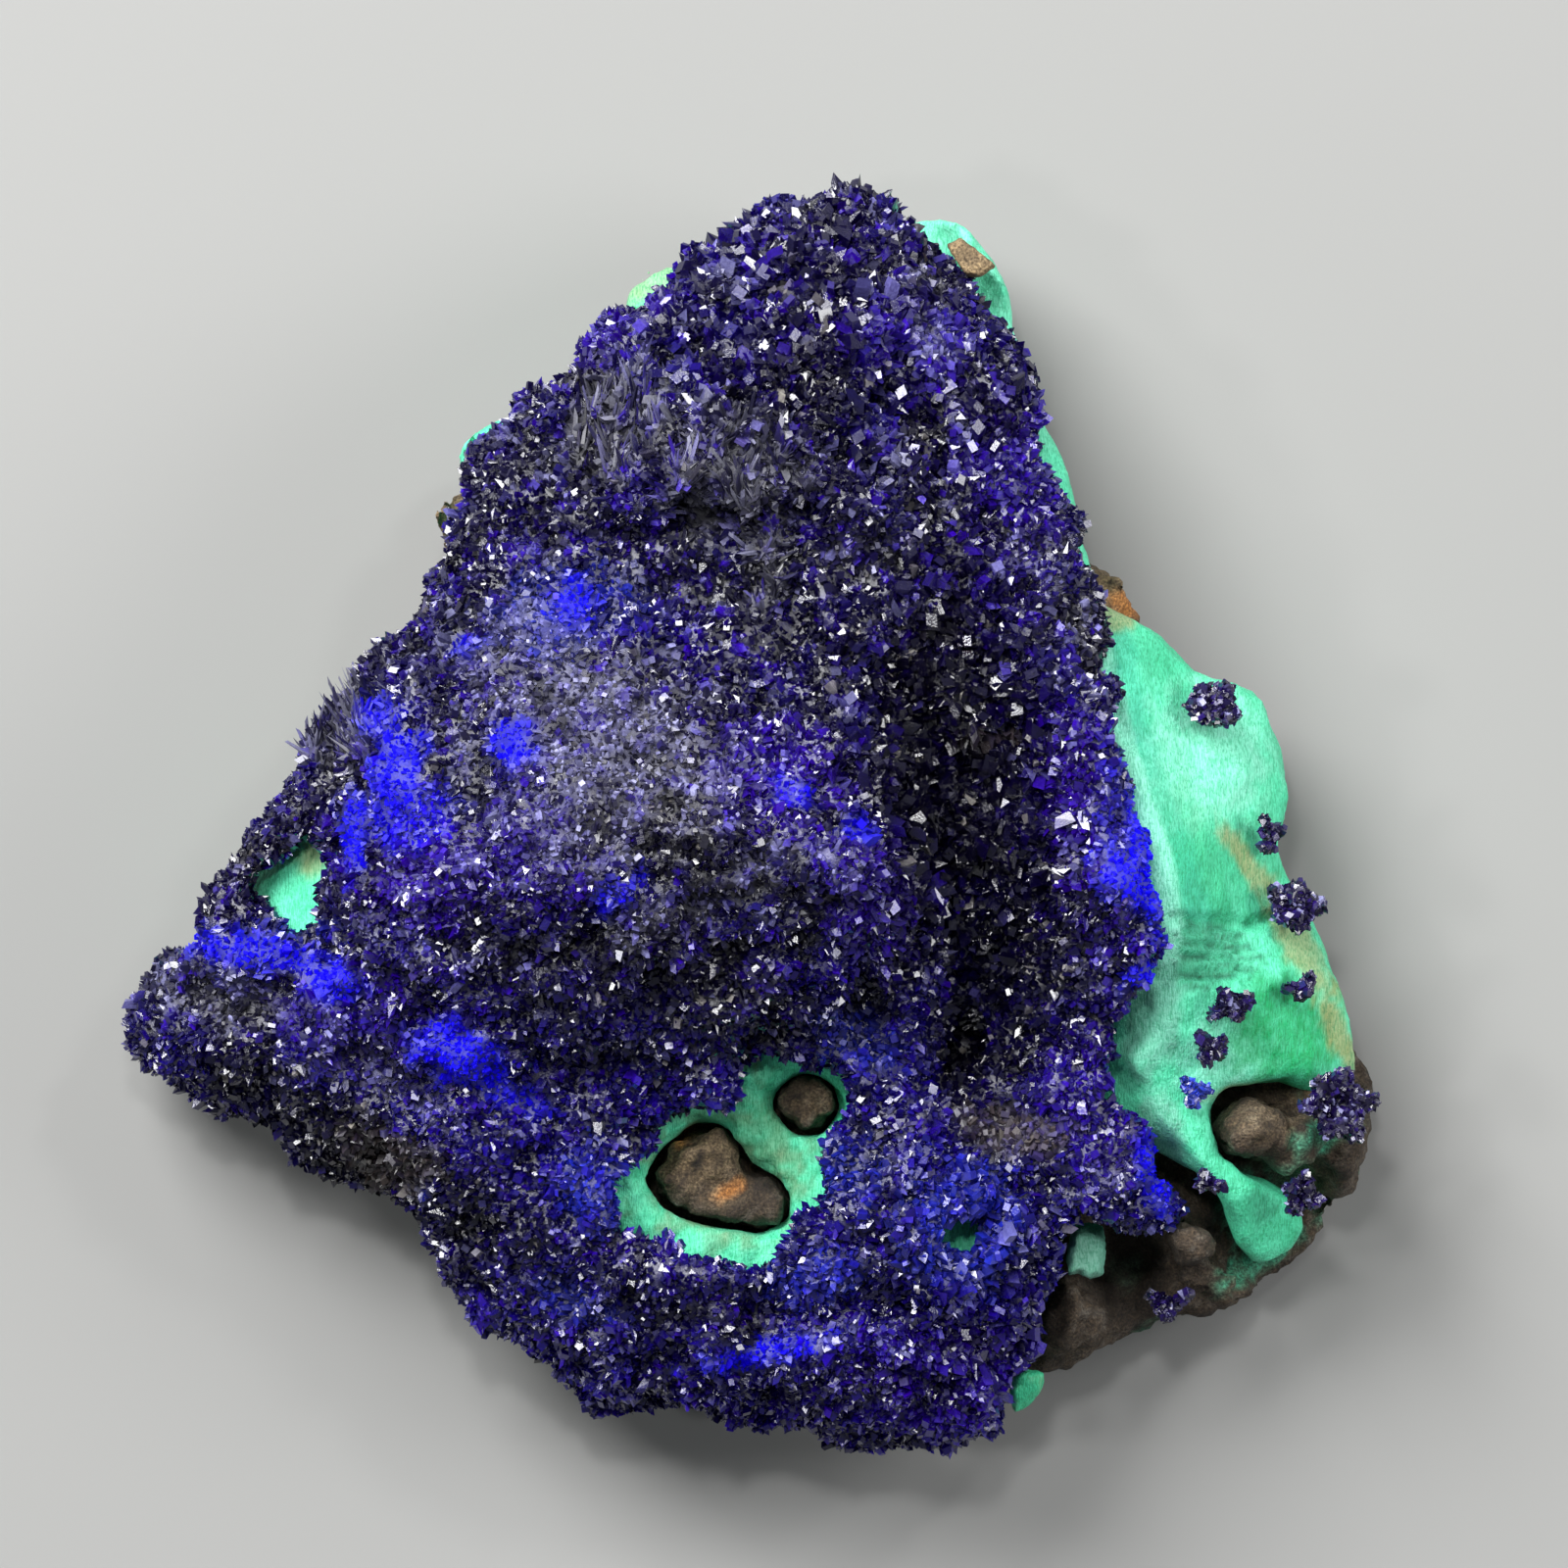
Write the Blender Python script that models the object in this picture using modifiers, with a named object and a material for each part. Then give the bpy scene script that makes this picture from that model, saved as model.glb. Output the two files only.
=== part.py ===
"""Azurite specimen, about 43 mm across, lying on its broken back with the crystals up.

A dark blue crust of grown-together azurite crystals covers a layer of malachite, and both sit on
brown limonite. The crust has three windows; the green layer shows in them and along the right
flank. Small groups of azurite sit on the green and on the brown.

Shapes are worked out in millimetres around the middle of the flat foot and scaled to metres at the
end. Plan positions and heights were read off the specimen by eye.
"""
import math
import random

import bmesh
import bpy
import numpy as np
from mathutils import Matrix, Vector, noise

METRES = 0.001
SPECIMEN = "azurite_specimen"
SEED = 20417

# Driving sizes, in millimetres
CONTACT_GAP = 0.32
HEIGHT_PITCH = 0.4
HEIGHT_REACH = 24.0
GRAIN_OF_SHAPE = 0.62
SLAB_DEPTH = 3.1
CRUST_THICKNESS = 2.1
CRUST_AT_WINDOWS = 0.95
CRUST_AT_FLANK = 1.15
CRUST_LEAST = 0.75
WALL_WIDTH = 1.5
RIM_WIDTH = 1.9
RIM_TURN = 0.6
FREE_EDGE = 0.55
EDGE_RAMP = 4.0
LAYER_THICKNESS = 1.9
FLANK_THICKNESS = 2.6
RIM_THICKNESS = 1.4
MATRIX_LEAST = 1.1
CRYSTAL_SPACING = 2.65
CRYSTAL_TRIES = 6000
CRYSTAL_FIELD = ((-21.5, 14.6), (-21.6, 21.3))
CRYSTAL_LENGTH = (1.5, 2.1)
CRYSTAL_WIDTH = (0.65, 1.1)
CRYSTAL_SHOWS = (0.34, 0.62)
STEEPEST_SEAT = 0.45
CRYSTAL_LEAN = 0.45
CRYSTAL_UPWARD = 0.25
CRYSTAL_FLATNESS = (0.5, 0.85)
CRYSTAL_INSET = (0.75, 1.1)
CHISEL_FROM = 0.72
CHISEL_EDGE = (0.72, 0.16)
GROUP_CORE = (0.92, 0.92, 0.9)
GROUP_REACH = 0.34
GROUP_SHARES = (0.3, 0.72)
GROUP_LEAN = 0.75
GROUP_ROOT = 0.15
GROUP_LENGTH = (0.42, 0.45, 0.65)
GROUP_WIDTH = (0.42, 0.3)
GROUP_VARIETY = (0.8, 1.1)
PIECE_LEVELS = ((0.55, 1.04), (0.85, 0.93), (1.0, 0.72))
PIECE_UNEVENNESS = (0.09, 1.9)
SEAT_RINGS = (0.0, 0.4, 0.8, 1.15)
SEAT_CLEARANCE = 0.8
SLOPE_REACH = 0.35
WINDOW_REACH = 2.4
FLANK_FROM = (10.0, 2.2)
FLANK_ABOVE = (-15.0, 3.0)
CRUST_LUMPS = ((0.5, 2.6), (0.34, 1.25))
LAYER_LUMPS = (0.22, 1.9)
ROCK_UNEVENNESS = (0.35, 1.7)
UNDERSIDE_LUMPS = ((1.1, 3.0), (0.35, 1.2))
WINDOW_FLOOR_RISE = (0.55, 0.45, 0.3)
WINDOW_FLOOR_RAMP = (0.45, 0.8)
LAYER_MEETS_CRUST = 1.6
LAYER_TUCKED_UNDER = 0.9
LAYER_MOST = 1.5
BARE_ROCK_EAST = (8.4, 1.8)
BARE_ROCK_SOUTH = (-8.0, 3.0)
SHEET_GIVE = 0.3
LEDGE_END = 1.6
CRUST_SWAY = (0.28, 11)
LAYER_SWAY = (0.16, 13)
ROCK_SWAY = (0.3, 17)
SWAY_GRAIN = 1.5
SWAY_TURN = 1.7
LUMP_SHOULDER = 0.62
LUMP_UNEVENNESS = 0.13
FILL_GAP = 0.28
FILL_BELOW_RIM = 0.12
FILL_ROOT = 0.9
FILL_LUMPS = (0.16, 0.75)

CRUST_TRIANGLES = 1710
LAYER_TRIANGLES = 1480
MATRIX_TRIANGLES = 1240
FILL_TRIANGLES = (110, 190)

# Plan outlines, in millimetres, clockwise from the pointed end
CRUST_OUTLINE = [
    (0.4, 20.7), (2.7, 21.3), (4.1, 21.0), (5.4, 20.3), (6.1, 19.3), (7.1, 18.1), (8.5, 16.3),
    (9.4, 14.5),
    (9.7, 12.7), (10.2, 11.2), (11.1, 9.2), (11.6, 6.5), (12.1, 4.5), (12.7, 1.8), (13.2, -0.5),
    (14.1, -3.0), (14.1, -4.2), (13.1, -5.8), (12.1, -7.5), (11.7, -8.4), (11.8, -9.2),
    (12.7, -9.8), (13.2, -11.0), (14.1, -12.0), (14.6, -13.4), (13.5, -14.1), (12.1, -13.4),
    (10.5, -13.0), (10.2, -15.2), (9.8, -16.5), (9.1, -18.0), (8.5, -19.2), (8.3, -21.2),
    (6.4, -21.6), (4.4, -21.3), (2.1, -21.0), (0.1, -20.2), (-1.9, -20.0), (-3.9, -20.2),
    (-5.6, -19.6), (-6.9, -18.8), (-8.9, -17.0), (-10.2, -15.5), (-11.3, -14.0), (-12.3, -12.5),
    (-14.3, -12.0), (-16.6, -10.5), (-18.9, -9.5), (-20.6, -8.3), (-21.4, -7.0), (-20.9, -6.2),
    (-19.4, -4.3), (-18.3, -2.8), (-17.3, -0.5), (-15.9, 1.2), (-14.8, 3.2), (-13.9, 4.0),
    (-12.3, 5.8), (-11.2, 7.6), (-10.6, 8.9), (-10.0, 9.8), (-9.8, 11.0), (-9.1, 12.2),
    (-7.9, 13.5), (-6.8, 14.8), (-5.6, 16.1), (-4.7, 16.9), (-3.3, 17.7), (-2.1, 18.8), (-0.9, 19.8),
]
MAIN_WINDOW = [
    (-5.1, -13.7), (-4.2, -12.0), (-2.8, -10.4), (-1.4, -9.8), (-0.2, -8.8), (0.7, -8.0),
    (2.1, -8.0), (3.7, -8.9), (3.7, -9.9), (2.9, -10.7), (2.0, -11.1), (2.3, -11.9), (2.5, -12.7),
    (2.2, -13.8), (1.0, -14.9), (-0.3, -15.6), (-1.0, -15.2), (-2.5, -15.2), (-2.9, -14.3),
    (-4.2, -14.1),
]
SMALL_WINDOW = [
    (6.4, -13.5), (7.0, -12.9), (7.8, -13.0), (7.9, -13.8), (7.8, -14.8), (7.1, -15.5),
    (6.5, -15.2), (6.2, -14.3),
]
LEFT_WINDOW = [
    (-13.8, 1.1), (-14.2, -0.5), (-14.4, -1.8), (-14.8, -3.2), (-15.3, -3.8), (-16.6, -3.6),
    (-17.6, -3.3), (-16.8, -2.0), (-15.6, -0.8), (-14.7, 0.2),
]
CRUST_WINDOWS = (MAIN_WINDOW, LEFT_WINDOW, SMALL_WINDOW)
MALACHITE_OUTLINE = [
    (3.4, 18.9), (5.0, 19.9), (5.9, 20.8), (6.9, 20.5), (7.8, 19.7), (8.6, 18.7), (8.9, 16.8),
    (9.4, 15.2), (9.8, 13.6), (10.5, 12.7), (10.9, 11.2), (11.2, 9.7), (11.5, 8.4), (11.7, 7.0),
    (13.2, 6.8), (14.1, 6.2), (14.8, 4.8), (16.1, 4.9), (17.4, 4.2), (18.1, 2.2), (18.5, 0.2),
    (17.7, -1.2), (18.1, -1.8), (19.2, -3.5), (19.9, -5.5), (20.6, -7.4), (20.7, -8.9),
    (19.4, -9.5), (18.4, -8.8), (17.2, -9.1), (16.0, -9.0), (15.3, -10.0), (15.9, -11.3),
    (16.6, -12.2), (17.7, -12.5), (18.7, -13.1), (19.0, -13.8), (18.4, -15.0), (17.2, -15.5),
    (16.5, -14.3), (15.9, -12.7), (14.9, -12.0), (13.6, -11.2), (11.6, -11.0), (9.4, -12.0),
    (9.0, -14.2), (8.4, -16.4), (6.6, -18.2), (3.8, -18.6), (0.2, -17.8), (-3.6, -17.7),
    (-6.6, -16.2), (-8.8, -14.0), (-10.8, -11.4), (-13.4, -9.9), (-16.2, -8.2), (-18.0, -6.6),
    (-18.3, -4.6), (-17.7, -2.9), (-16.6, -0.6), (-15.0, 1.3), (-13.2, 2.8), (-11.4, 4.6),
    (-10.0, 7.2), (-9.2, 9.6), (-9.9, 11.7), (-10.2, 12.4), (-9.5, 13.3), (-8.5, 13.8),
    (-7.4, 13.4), (-5.8, 14.4), (-4.6, 16.4), (-4.3, 18.0), (-3.3, 18.9), (-2.2, 19.1),
    (-1.2, 18.0), (1.0, 18.4),
]
BROWN_POCKET = [(0.6, -8.9), (2.2, -8.6), (3.2, -9.3), (3.1, -10.4), (1.8, -11.0), (0.5, -10.4)]
OLIVE_POCKET = [
    (-2.9, -10.8), (-1.5, -10.2), (-0.4, -10.7), (-0.1, -11.7), (0.8, -12.1), (1.7, -13.1),
    (0.9, -14.3), (-0.4, -14.1), (-1.6, -13.9), (-3.1, -13.4), (-3.8, -12.4),
]
MATRIX_OUTLINE = [
    (2.4, 18.6), (5.8, 18.0), (7.4, 16.4), (8.4, 13.6), (9.6, 10.6), (11.4, 8.6), (12.4, 8.5),
    (13.1, 7.5), (13.0, 6.6), (14.0, 4.6), (16.4, 3.6), (17.4, 1.0), (17.0, -1.4), (18.2, -3.6),
    (19.4, -6.4), (21.1, -8.4), (21.6, -9.5), (21.3, -10.6), (20.9, -12.2), (20.1, -13.0),
    (19.6, -14.2), (18.2, -15.5), (16.7, -16.8), (14.7, -17.1), (13.4, -17.3), (12.7, -17.9),
    (11.1, -18.8), (9.7, -19.3), (7.4, -18.8), (5.4, -18.9), (0.6, -18.2), (-3.8, -18.0),
    (-6.8, -16.4), (-9.0, -14.2), (-11.0, -11.4), (-13.6, -9.8), (-16.6, -7.8), (-18.2, -6.3),
    (-17.4, -4.0), (-15.8, -1.0), (-13.6, 1.6), (-11.4, 4.2), (-10.2, 7.4), (-10.4, 9.2),
    (-11.0, 9.7), (-11.1, 10.7), (-10.4, 11.4), (-9.4, 11.0), (-8.2, 11.8), (-6.2, 13.6),
    (-4.2, 15.8), (-1.4, 17.2),
]

# Heights above the foot, in millimetres, by the name of the place: across, along, height
CRUST_RELIEF = {
    "point edge": (2.7, 21.2, 7.6), "below point": (2.7, 17.8, 10.5), "point left": (-1.6, 17.8, 8.6),
    "point right": (7.1, 16.8, 9.0), "shoulder top": (-1.6, 14.5, 12.8),
    "shoulder": (-1.6, 13.2, 13.6), "shoulder lip": (-2.3, 10.9, 13.6),
    "under lip": (-2.3, 9.2, 11.6),
    "upper left": (-6.9, 13.8, 9.4), "left rim": (-9.4, 10.5, 8.8), "upper right": (4.4, 12.8, 12.2),
    "right rim high": (9.0, 12.8, 9.9), "right rim mid": (9.4, 11.2, 10.2),
    "saddle": (1.1, 7.2, 12.4),
    "saddle right": (4.4, 7.2, 12.6), "right rim low": (10.4, 7.2, 11.6),
    "dome head": (-7.9, 7.2, 12.0),
    "dome head left": (-10.4, 6.5, 10.2), "dome upper": (-3.9, 3.8, 14.4),
    "dome upper right": (1.1, 2.5, 14.6), "dome left": (-11.3, 1.2, 13.6),
    "dome top": (-6.9, -0.8, 16.4),
    "dome crown": (-2.3, -1.5, 17.0), "dome right": (2.7, -1.2, 16.4),
    "dome corner": (4.5, -1.5, 15.4),
    "gully head": (4.8, 3.8, 12.0), "gully": (6.6, 1.2, 10.3), "gully low": (6.9, -3.8, 9.5),
    "gully pit": (7.2, -8.3, 7.6), "gully right": (9.7, -0.5, 11.3), "ridge high": (11.7, 1.2, 12.6),
    "ridge": (12.1, -2.2, 13.6), "ridge corner": (13.6, -3.3, 13.0), "ridge low": (12.4, -5.5, 11.6),
    "ridge foot": (11.4, -7.8, 10.7), "under dome left": (-8.9, -5.5, 13.6),
    "under dome": (-2.3, -5.8, 13.6), "under dome right": (2.7, -4.8, 13.2),
    "crease left": (-10.6, -9.2, 10.2), "crease": (-3.9, -9.0, 10.2),
    "crease right": (3.2, -7.0, 10.4),
    "apron left": (-8.9, -12.2, 10.2), "apron foot": (-6.9, -17.2, 8.4),
    "apron mid": (-2.3, -17.2, 9.3),
    "window rim": (-0.6, -12.2, 9.9), "apron right": (5.1, -10.5, 10.6),
    "lobe head": (4.4, -13.8, 11.0),
    "lobe": (8.6, -14.5, 10.4), "lobe low": (6.1, -18.8, 9.4), "lobe tip": (6.4, -20.8, 7.6),
    "foot left": (-2.3, -19.6, 7.2), "wing": (-15.8, -2.2, 8.3), "wing out": (-18.9, -5.8, 7.4),
    "wing tip": (-21.2, -7.0, 5.8), "wing mid": (-15.6, -5.8, 9.6), "wing low": (-15.6, -8.5, 9.0),
    "inner corner": (-13.0, -10.8, 8.6), "wing high": (-14.9, 2.0, 8.0),
    "flank lobe": (13.4, -12.6, 9.6), "flank neck": (12.2, -9.6, 10.6),
    "east rim": (13.3, -0.4, 12.4),
}
MALACHITE_RELIEF = {
    "top point": (5.9, 20.5, 6.2), "top": (8.1, 18.5, 5.8), "top right": (9.1, 15.5, 6.0),
    "strip": (10.3, 11.8, 6.6), "strip low": (11.2, 9.4, 7.2), "flank head": (12.2, 6.4, 9.3),
    "flank outer head": (14.4, 5.6, 7.6), "flank in": (13.2, 1.2, 10.4), "plate": (16.1, 1.2, 7.7),
    "plate head": (16.3, 4.0, 6.4), "plate edge": (18.0, 1.2, 5.8), "fold": (14.4, -2.2, 10.9),
    "fold out": (16.4, -2.8, 7.8), "fold rim": (18.5, -2.8, 5.6), "band": (14.6, -5.5, 10.0),
    "band out": (17.7, -5.5, 8.0), "band rim": (20.0, -7.0, 5.8), "wedge": (13.3, -9.4, 9.2),
    "knee": (16.1, -12.2, 8.3), "knee rim": (18.0, -14.0, 6.2), "corner": (20.3, -8.6, 5.4),
    "left sliver": (-9.6, 12.8, 6.4), "top left": (-3.4, 18.4, 6.6), "wedge low": (13.8, -11.0, 8.8),
    "under wing": (-18.4, -4.0, 5.8), "under wing low": (-17.0, -8.5, 5.4),
    "under foot": (-9.0, -15.5, 5.6),
    "under south": (-2.0, -19.0, 5.4), "under lobe": (7.0, -19.0, 5.6),
    "under dome": (-2.0, -2.0, 12.0),
}
MATRIX_RELIEF = {
    "east lump": (16.9, -10.3, 8.9), "east lump low": (18.4, -11.0, 8.0),
    "east rim": (21.0, -9.6, 5.8),
    "south lump": (15.6, -14.2, 7.7), "south rim": (16.2, -16.4, 4.6), "hollow": (13.0, -15.0, 3.1),
    "hollow floor": (12.2, -15.9, 3.0), "west lump": (11.2, -16.6, 7.0),
    "west rim": (11.0, -18.4, 4.4),
    "foot lump": (9.7, -18.6, 4.6), "under lobe": (7.6, -17.6, 5.4), "knee": (18.6, -13.6, 6.3),
    "hollow back": (12.6, -13.2, 4.4), "crumb": (12.5, 7.8, 7.6), "left lump": (-10.6, 10.4, 7.2),
    "hollow lip": (13.9, -16.9, 3.8), "column seat": (10.9, -14.0, 3.9),
}
FOOT_RELIEF = {
    "middle": (0.0, 0.0, -1.4), "middle east": (6.0, -2.0, -1.2), "middle west": (-6.0, -3.0, -1.2),
    "middle north": (1.0, 6.0, -1.1), "middle south": (1.0, -8.5, -1.1),
    "north east": (6.5, 4.5, -0.7),
    "south west": (-6.5, -8.0, -0.7), "south east": (8.5, -8.5, -0.7),
    "north west": (-5.5, 3.5, -0.7),
    "far north": (2.0, 17.5, 3.4), "north": (1.5, 12.5, 1.8), "north rim east": (8.0, 12.5, 2.6),
    "north rim west": (-6.5, 11.5, 2.8), "west rim high": (-10.5, 6.0, 3.0),
    "west": (-13.0, -3.0, 1.9),
    "far west": (-17.5, -6.0, 3.2), "south west rim": (-11.0, -11.0, 2.6),
    "south rim": (-3.0, -17.0, 3.0),
    "south": (3.0, -14.0, 1.2), "south rim east": (8.0, -18.5, 2.6), "east": (13.0, -5.0, 1.0),
    "east rim": (17.5, 1.0, 3.0), "far east": (20.0, -9.0, 2.6), "south east rim": (16.5, -15.5, 2.0),
    "north east rim": (12.5, 7.0, 3.4),
}
WALL_DEPTH = {
    "point": (2.7, 21.0, 1.6), "north east": (8.0, 16.0, 0.5), "east": (12.5, 3.0, 0.2),
    "east corner": (14.0, -3.5, 0.2), "neck": (12.0, -9.0, 0.2), "flank lobe": (13.5, -13.5, 1.2),
    "hollow edge": (10.3, -15.0, 1.0), "lobe tip": (6.4, -21.4, 2.2), "south": (-2.0, -20.0, 1.8),
    "south west": (-9.0, -17.0, 2.6), "inner corner": (-12.3, -12.3, 3.2),
    "wing low": (-17.0, -10.2, 3.4),
    "wing tip": (-21.2, -7.0, 1.9), "wing high": (-18.0, -3.0, 0.3), "wing top": (-15.5, 1.5, 0.3),
    "dome side": (-13.0, 5.0, 1.0), "west": (-10.8, 8.0, 1.0), "west rim": (-9.8, 11.0, 0.2),
    "north west": (-8.0, 13.4, 0.3), "north": (-4.0, 17.2, 0.4), "middle": (0.0, 0.0, 0.5),
}
# A ledge: its line, how far the left-hand side of the line stands up, how sharp, how far it reaches.
LEDGES = {
    "dome cliff": ([(4.0, 4.6), (5.0, 1.4), (5.6, -2.0), (5.7, -5.0), (6.3, -8.2)], -2.6, 0.45, 2.2),
    "shoulder ledge": ([(-6.6, 9.9), (-4.0, 10.4), (-1.0, 10.3), (1.6, 10.9)], 1.3, 0.35, 1.6),
    "dome side": ([(-13.0, 5.2), (-13.3, 1.4), (-13.9, -2.0), (-14.1, -4.4)], 3.6, 0.55, 1.9),
    "ridge face": ([(10.6, 1.5), (11.0, -1.6), (10.6, -4.6), (9.8, -7.6)], 1.0, 0.6, 1.6),
    "groove": ([(-1.4, -1.2), (-4.4, -3.0), (-6.2, -4.4)], -0.9, 0.35, 0.9),
    "crease": ([(-11.6, -8.6), (-6.4, -8.3), (-1.4, -7.6), (3.0, -6.0)], 1.2, 0.5, 1.5),
    "apron ridge": ([(3.0, -16.2), (-1.6, -16.4), (-6.0, -15.6), (-9.4, -13.8)], -0.7, 0.4, 1.3),
}


# Loose groups of azurite: across, along, length, breadth, turn in degrees, number of crystals.
CLUSTERS = [
    (15.7, 3.8, 2.2, 1.5, -35, 5), (17.7, -0.5, 1.2, 0.9, 20, 3), (18.5, -3.0, 2.3, 1.6, -70, 5),
    (16.3, -6.3, 1.6, 1.1, 25, 4), (15.6, -7.8, 1.6, 0.85, -50, 4), (15.1, -9.3, 0.95, 0.9, 0, 3),
    (18.7, -5.8, 1.1, 0.8, 70, 3), (15.5, -12.4, 0.9, 0.8, 0, 3), (18.7, -12.8, 1.8, 1.3, 60, 4),
    (20.0, -9.7, 2.9, 2.1, -55, 6), (14.3, -16.6, 1.6, 0.8, 10, 3),
]
# Lumps of host rock that come up beside the green: across, along, top, wide, tall, turn.
ROCK_LUMPS = [
    (16.95, -10.6, 9.1, 1.15, 1.0, -20), (18.4, -11.1, 7.7, 1.1, 0.95, 30),
    (20.1, -10.9, 6.0, 1.0, 1.3, 0),
    (15.05, -14.5, 7.7, 0.75, 0.85, 20), (15.6, -15.7, 5.6, 1.3, 0.7, -20),
]
# Small broken pieces: height and outline.
COLUMN = (1.9, [
    (10.95, -13.95), (11.5, -13.85), (12.0, -14.0), (12.05, -14.8), (11.95, -15.6), (11.5, -15.75),
    (11.2, -15.5), (10.8, -15.65), (10.75, -14.9),
])
NUB = (1.3, [
    (8.95, -19.05), (9.35, -18.9), (9.95, -19.0), (9.85, -19.6), (9.4, -20.15), (8.95, -20.35),
    (8.85, -19.6),
])
CHIP = (0.6, [
    (6.62, 19.6), (7.1, 19.8), (7.7, 19.4), (8.3, 18.85), (7.75, 18.5), (7.3, 18.55), (6.95, 19.0),
])


def eased(values):
    """0 to 1 with soft ends, for values that run from 0 to 1."""
    held = np.clip(values, 0.0, 1.0)
    return held * held * (3.0 - 2.0 * held)


def ramp(values, start_and_length):
    """0 before the start, 1 past the length, soft between."""
    start, length = start_and_length
    return eased((values - start) / length)


class Relief:
    """A smooth sheet, as a thin plate bends, through spots of known height."""

    def __init__(self, spots, ledges=()):
        self.places = np.array([spot[:2] for spot in spots.values()])
        self.ledges = list(ledges)
        heights = np.array([spot[2] for spot in spots.values()]) - self.ledge_height(self.places)
        count = len(heights)
        plane = np.column_stack([np.ones(count), self.places])
        system = np.zeros((count + 3, count + 3))
        system[:count, :count] = self.pull(self.places) + SHEET_GIVE * np.eye(count)
        system[:count, count:] = plane
        system[count:, :count] = plane.T
        self.weights = np.linalg.solve(system, np.concatenate([heights, np.zeros(3)]))

    def pull(self, points):
        gap = ((points[:, None, :] - self.places[None, :, :]) ** 2).sum(axis=2)
        return 0.5 * gap * np.log(gap + 1e-9)

    def ledge_height(self, points):
        total = np.zeros(len(points))
        for line, rise, sharpness, reach in self.ledges:
            side, past_end = side_of_line(points, line)
            fade = np.exp(-(side / reach) ** 2) * (1.0 - eased(past_end / LEDGE_END))
            total += 0.5 * rise * np.tanh(side / sharpness) * fade
        return total

    def __call__(self, points):
        plane = np.column_stack([np.ones(len(points)), points])
        sheet = self.pull(points) @ self.weights[:-3] + plane @ self.weights[-3:]
        return sheet + self.ledge_height(points)


def nearest_on_segments(points, starts, ends):
    """Distance of each point to each segment, and which side of it the point is on."""
    along = ends - starts
    offset = points[:, None, :] - starts[None, :, :]
    share = (offset * along).sum(axis=2) / (along ** 2).sum(axis=1)
    held = np.clip(share, 0.0, 1.0)
    gap = offset - held[..., None] * along
    turn = along[:, 0] * offset[..., 1] - along[:, 1] * offset[..., 0]
    return np.sqrt((gap ** 2).sum(axis=2)), turn, share


def side_of_line(points, line):
    """Distance to a line, positive on its left, and how far past its ends a point lies."""
    corners = np.array(line)
    distance, turn, share = nearest_on_segments(points, corners[:-1], corners[1:])
    row = np.arange(len(points))
    best = distance.argmin(axis=1)
    ends = np.minimum(
        np.linalg.norm(points - corners[0], axis=1), np.linalg.norm(points - corners[-1], axis=1))
    first = (best == 0) & (share[row, 0] < 0.0)
    last = (best == len(corners) - 2) & (share[row, -1] > 1.0)
    past_end = np.where(first | last, ends, 0.0)
    return distance[row, best] * np.sign(turn[row, best]), past_end


def edge_distance(points, ring):
    """Distance of each point to a closed outline."""
    corners = np.array(ring)
    return nearest_on_segments(points, corners, np.roll(corners, -1, axis=0))[0].min(axis=1)


def inside(points, ring):
    """Which points lie within a closed outline."""
    corners = np.array(ring)
    after = np.roll(corners, -1, axis=0)
    x, y = points[:, None, 0], points[:, None, 1]
    spans = (corners[:, 1] > y) != (after[:, 1] > y)
    rise = np.where(after[:, 1] == corners[:, 1], 1.0, after[:, 1] - corners[:, 1])
    crossing = corners[:, 0] + (y - corners[:, 1]) * (after[:, 0] - corners[:, 0]) / rise
    return (spans & (x < crossing)).sum(axis=1) % 2 == 1


def depth_within(points, ring):
    """Distance to an outline, negative outside it."""
    return edge_distance(points, ring) * np.where(inside(points, ring), 1.0, -1.0)


def uneven(points, size, layer):
    """Smooth unevenness of lumps of one size, between about -1 and 1."""
    return np.array([
        noise.fractal(Vector((x / size, y / size, layer * 7.31)), 1.0, 2.0, 3) for x, y in points])


class Softened:
    """A softened copy of a surface that stays below it, for faces hidden inside the stone."""

    def __init__(self, sheet, reach):
        axis = np.arange(-HEIGHT_REACH, HEIGHT_REACH + HEIGHT_PITCH, HEIGHT_PITCH)
        across, along = np.meshgrid(axis, axis, indexing="ij")
        heights = sheet(np.column_stack([across.ravel(), along.ravel()])).reshape(across.shape)
        steps = round(reach / HEIGHT_PITCH)
        self.heights = heights
        for _ in range(steps):
            self.heights = np.minimum.reduce(self.neighbours())
        for _ in range(2 * steps * steps):
            self.heights = sum(self.neighbours()) / 5.0
        slope = np.gradient(self.heights, HEIGHT_PITCH)
        self.steepness = np.sqrt(1.0 + slope[0] ** 2 + slope[1] ** 2)

    def neighbours(self):
        padded = np.pad(self.heights, 1, mode="edge")
        return [padded[1:-1, 1:-1], padded[2:, 1:-1], padded[:-2, 1:-1],
                padded[1:-1, 2:], padded[1:-1, :-2]]

    def at(self, grid, points):
        place = np.clip((points + HEIGHT_REACH) / HEIGHT_PITCH, 0, len(grid) - 1.001)
        cell = place.astype(int)
        share = place - cell
        i, j, u, v = cell[:, 0], cell[:, 1], share[:, 0], share[:, 1]
        near = grid[i, j] * (1 - v) + grid[i, j + 1] * v
        far = grid[i + 1, j] * (1 - v) + grid[i + 1, j + 1] * v
        return near * (1 - u) + far * u

    def __call__(self, points):
        return self.at(self.heights, points)

    def clearance(self, points):
        """Height to leave so that the gap measured square to the surface is the contact gap."""
        return CONTACT_GAP * self.at(self.steepness, points)


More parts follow.
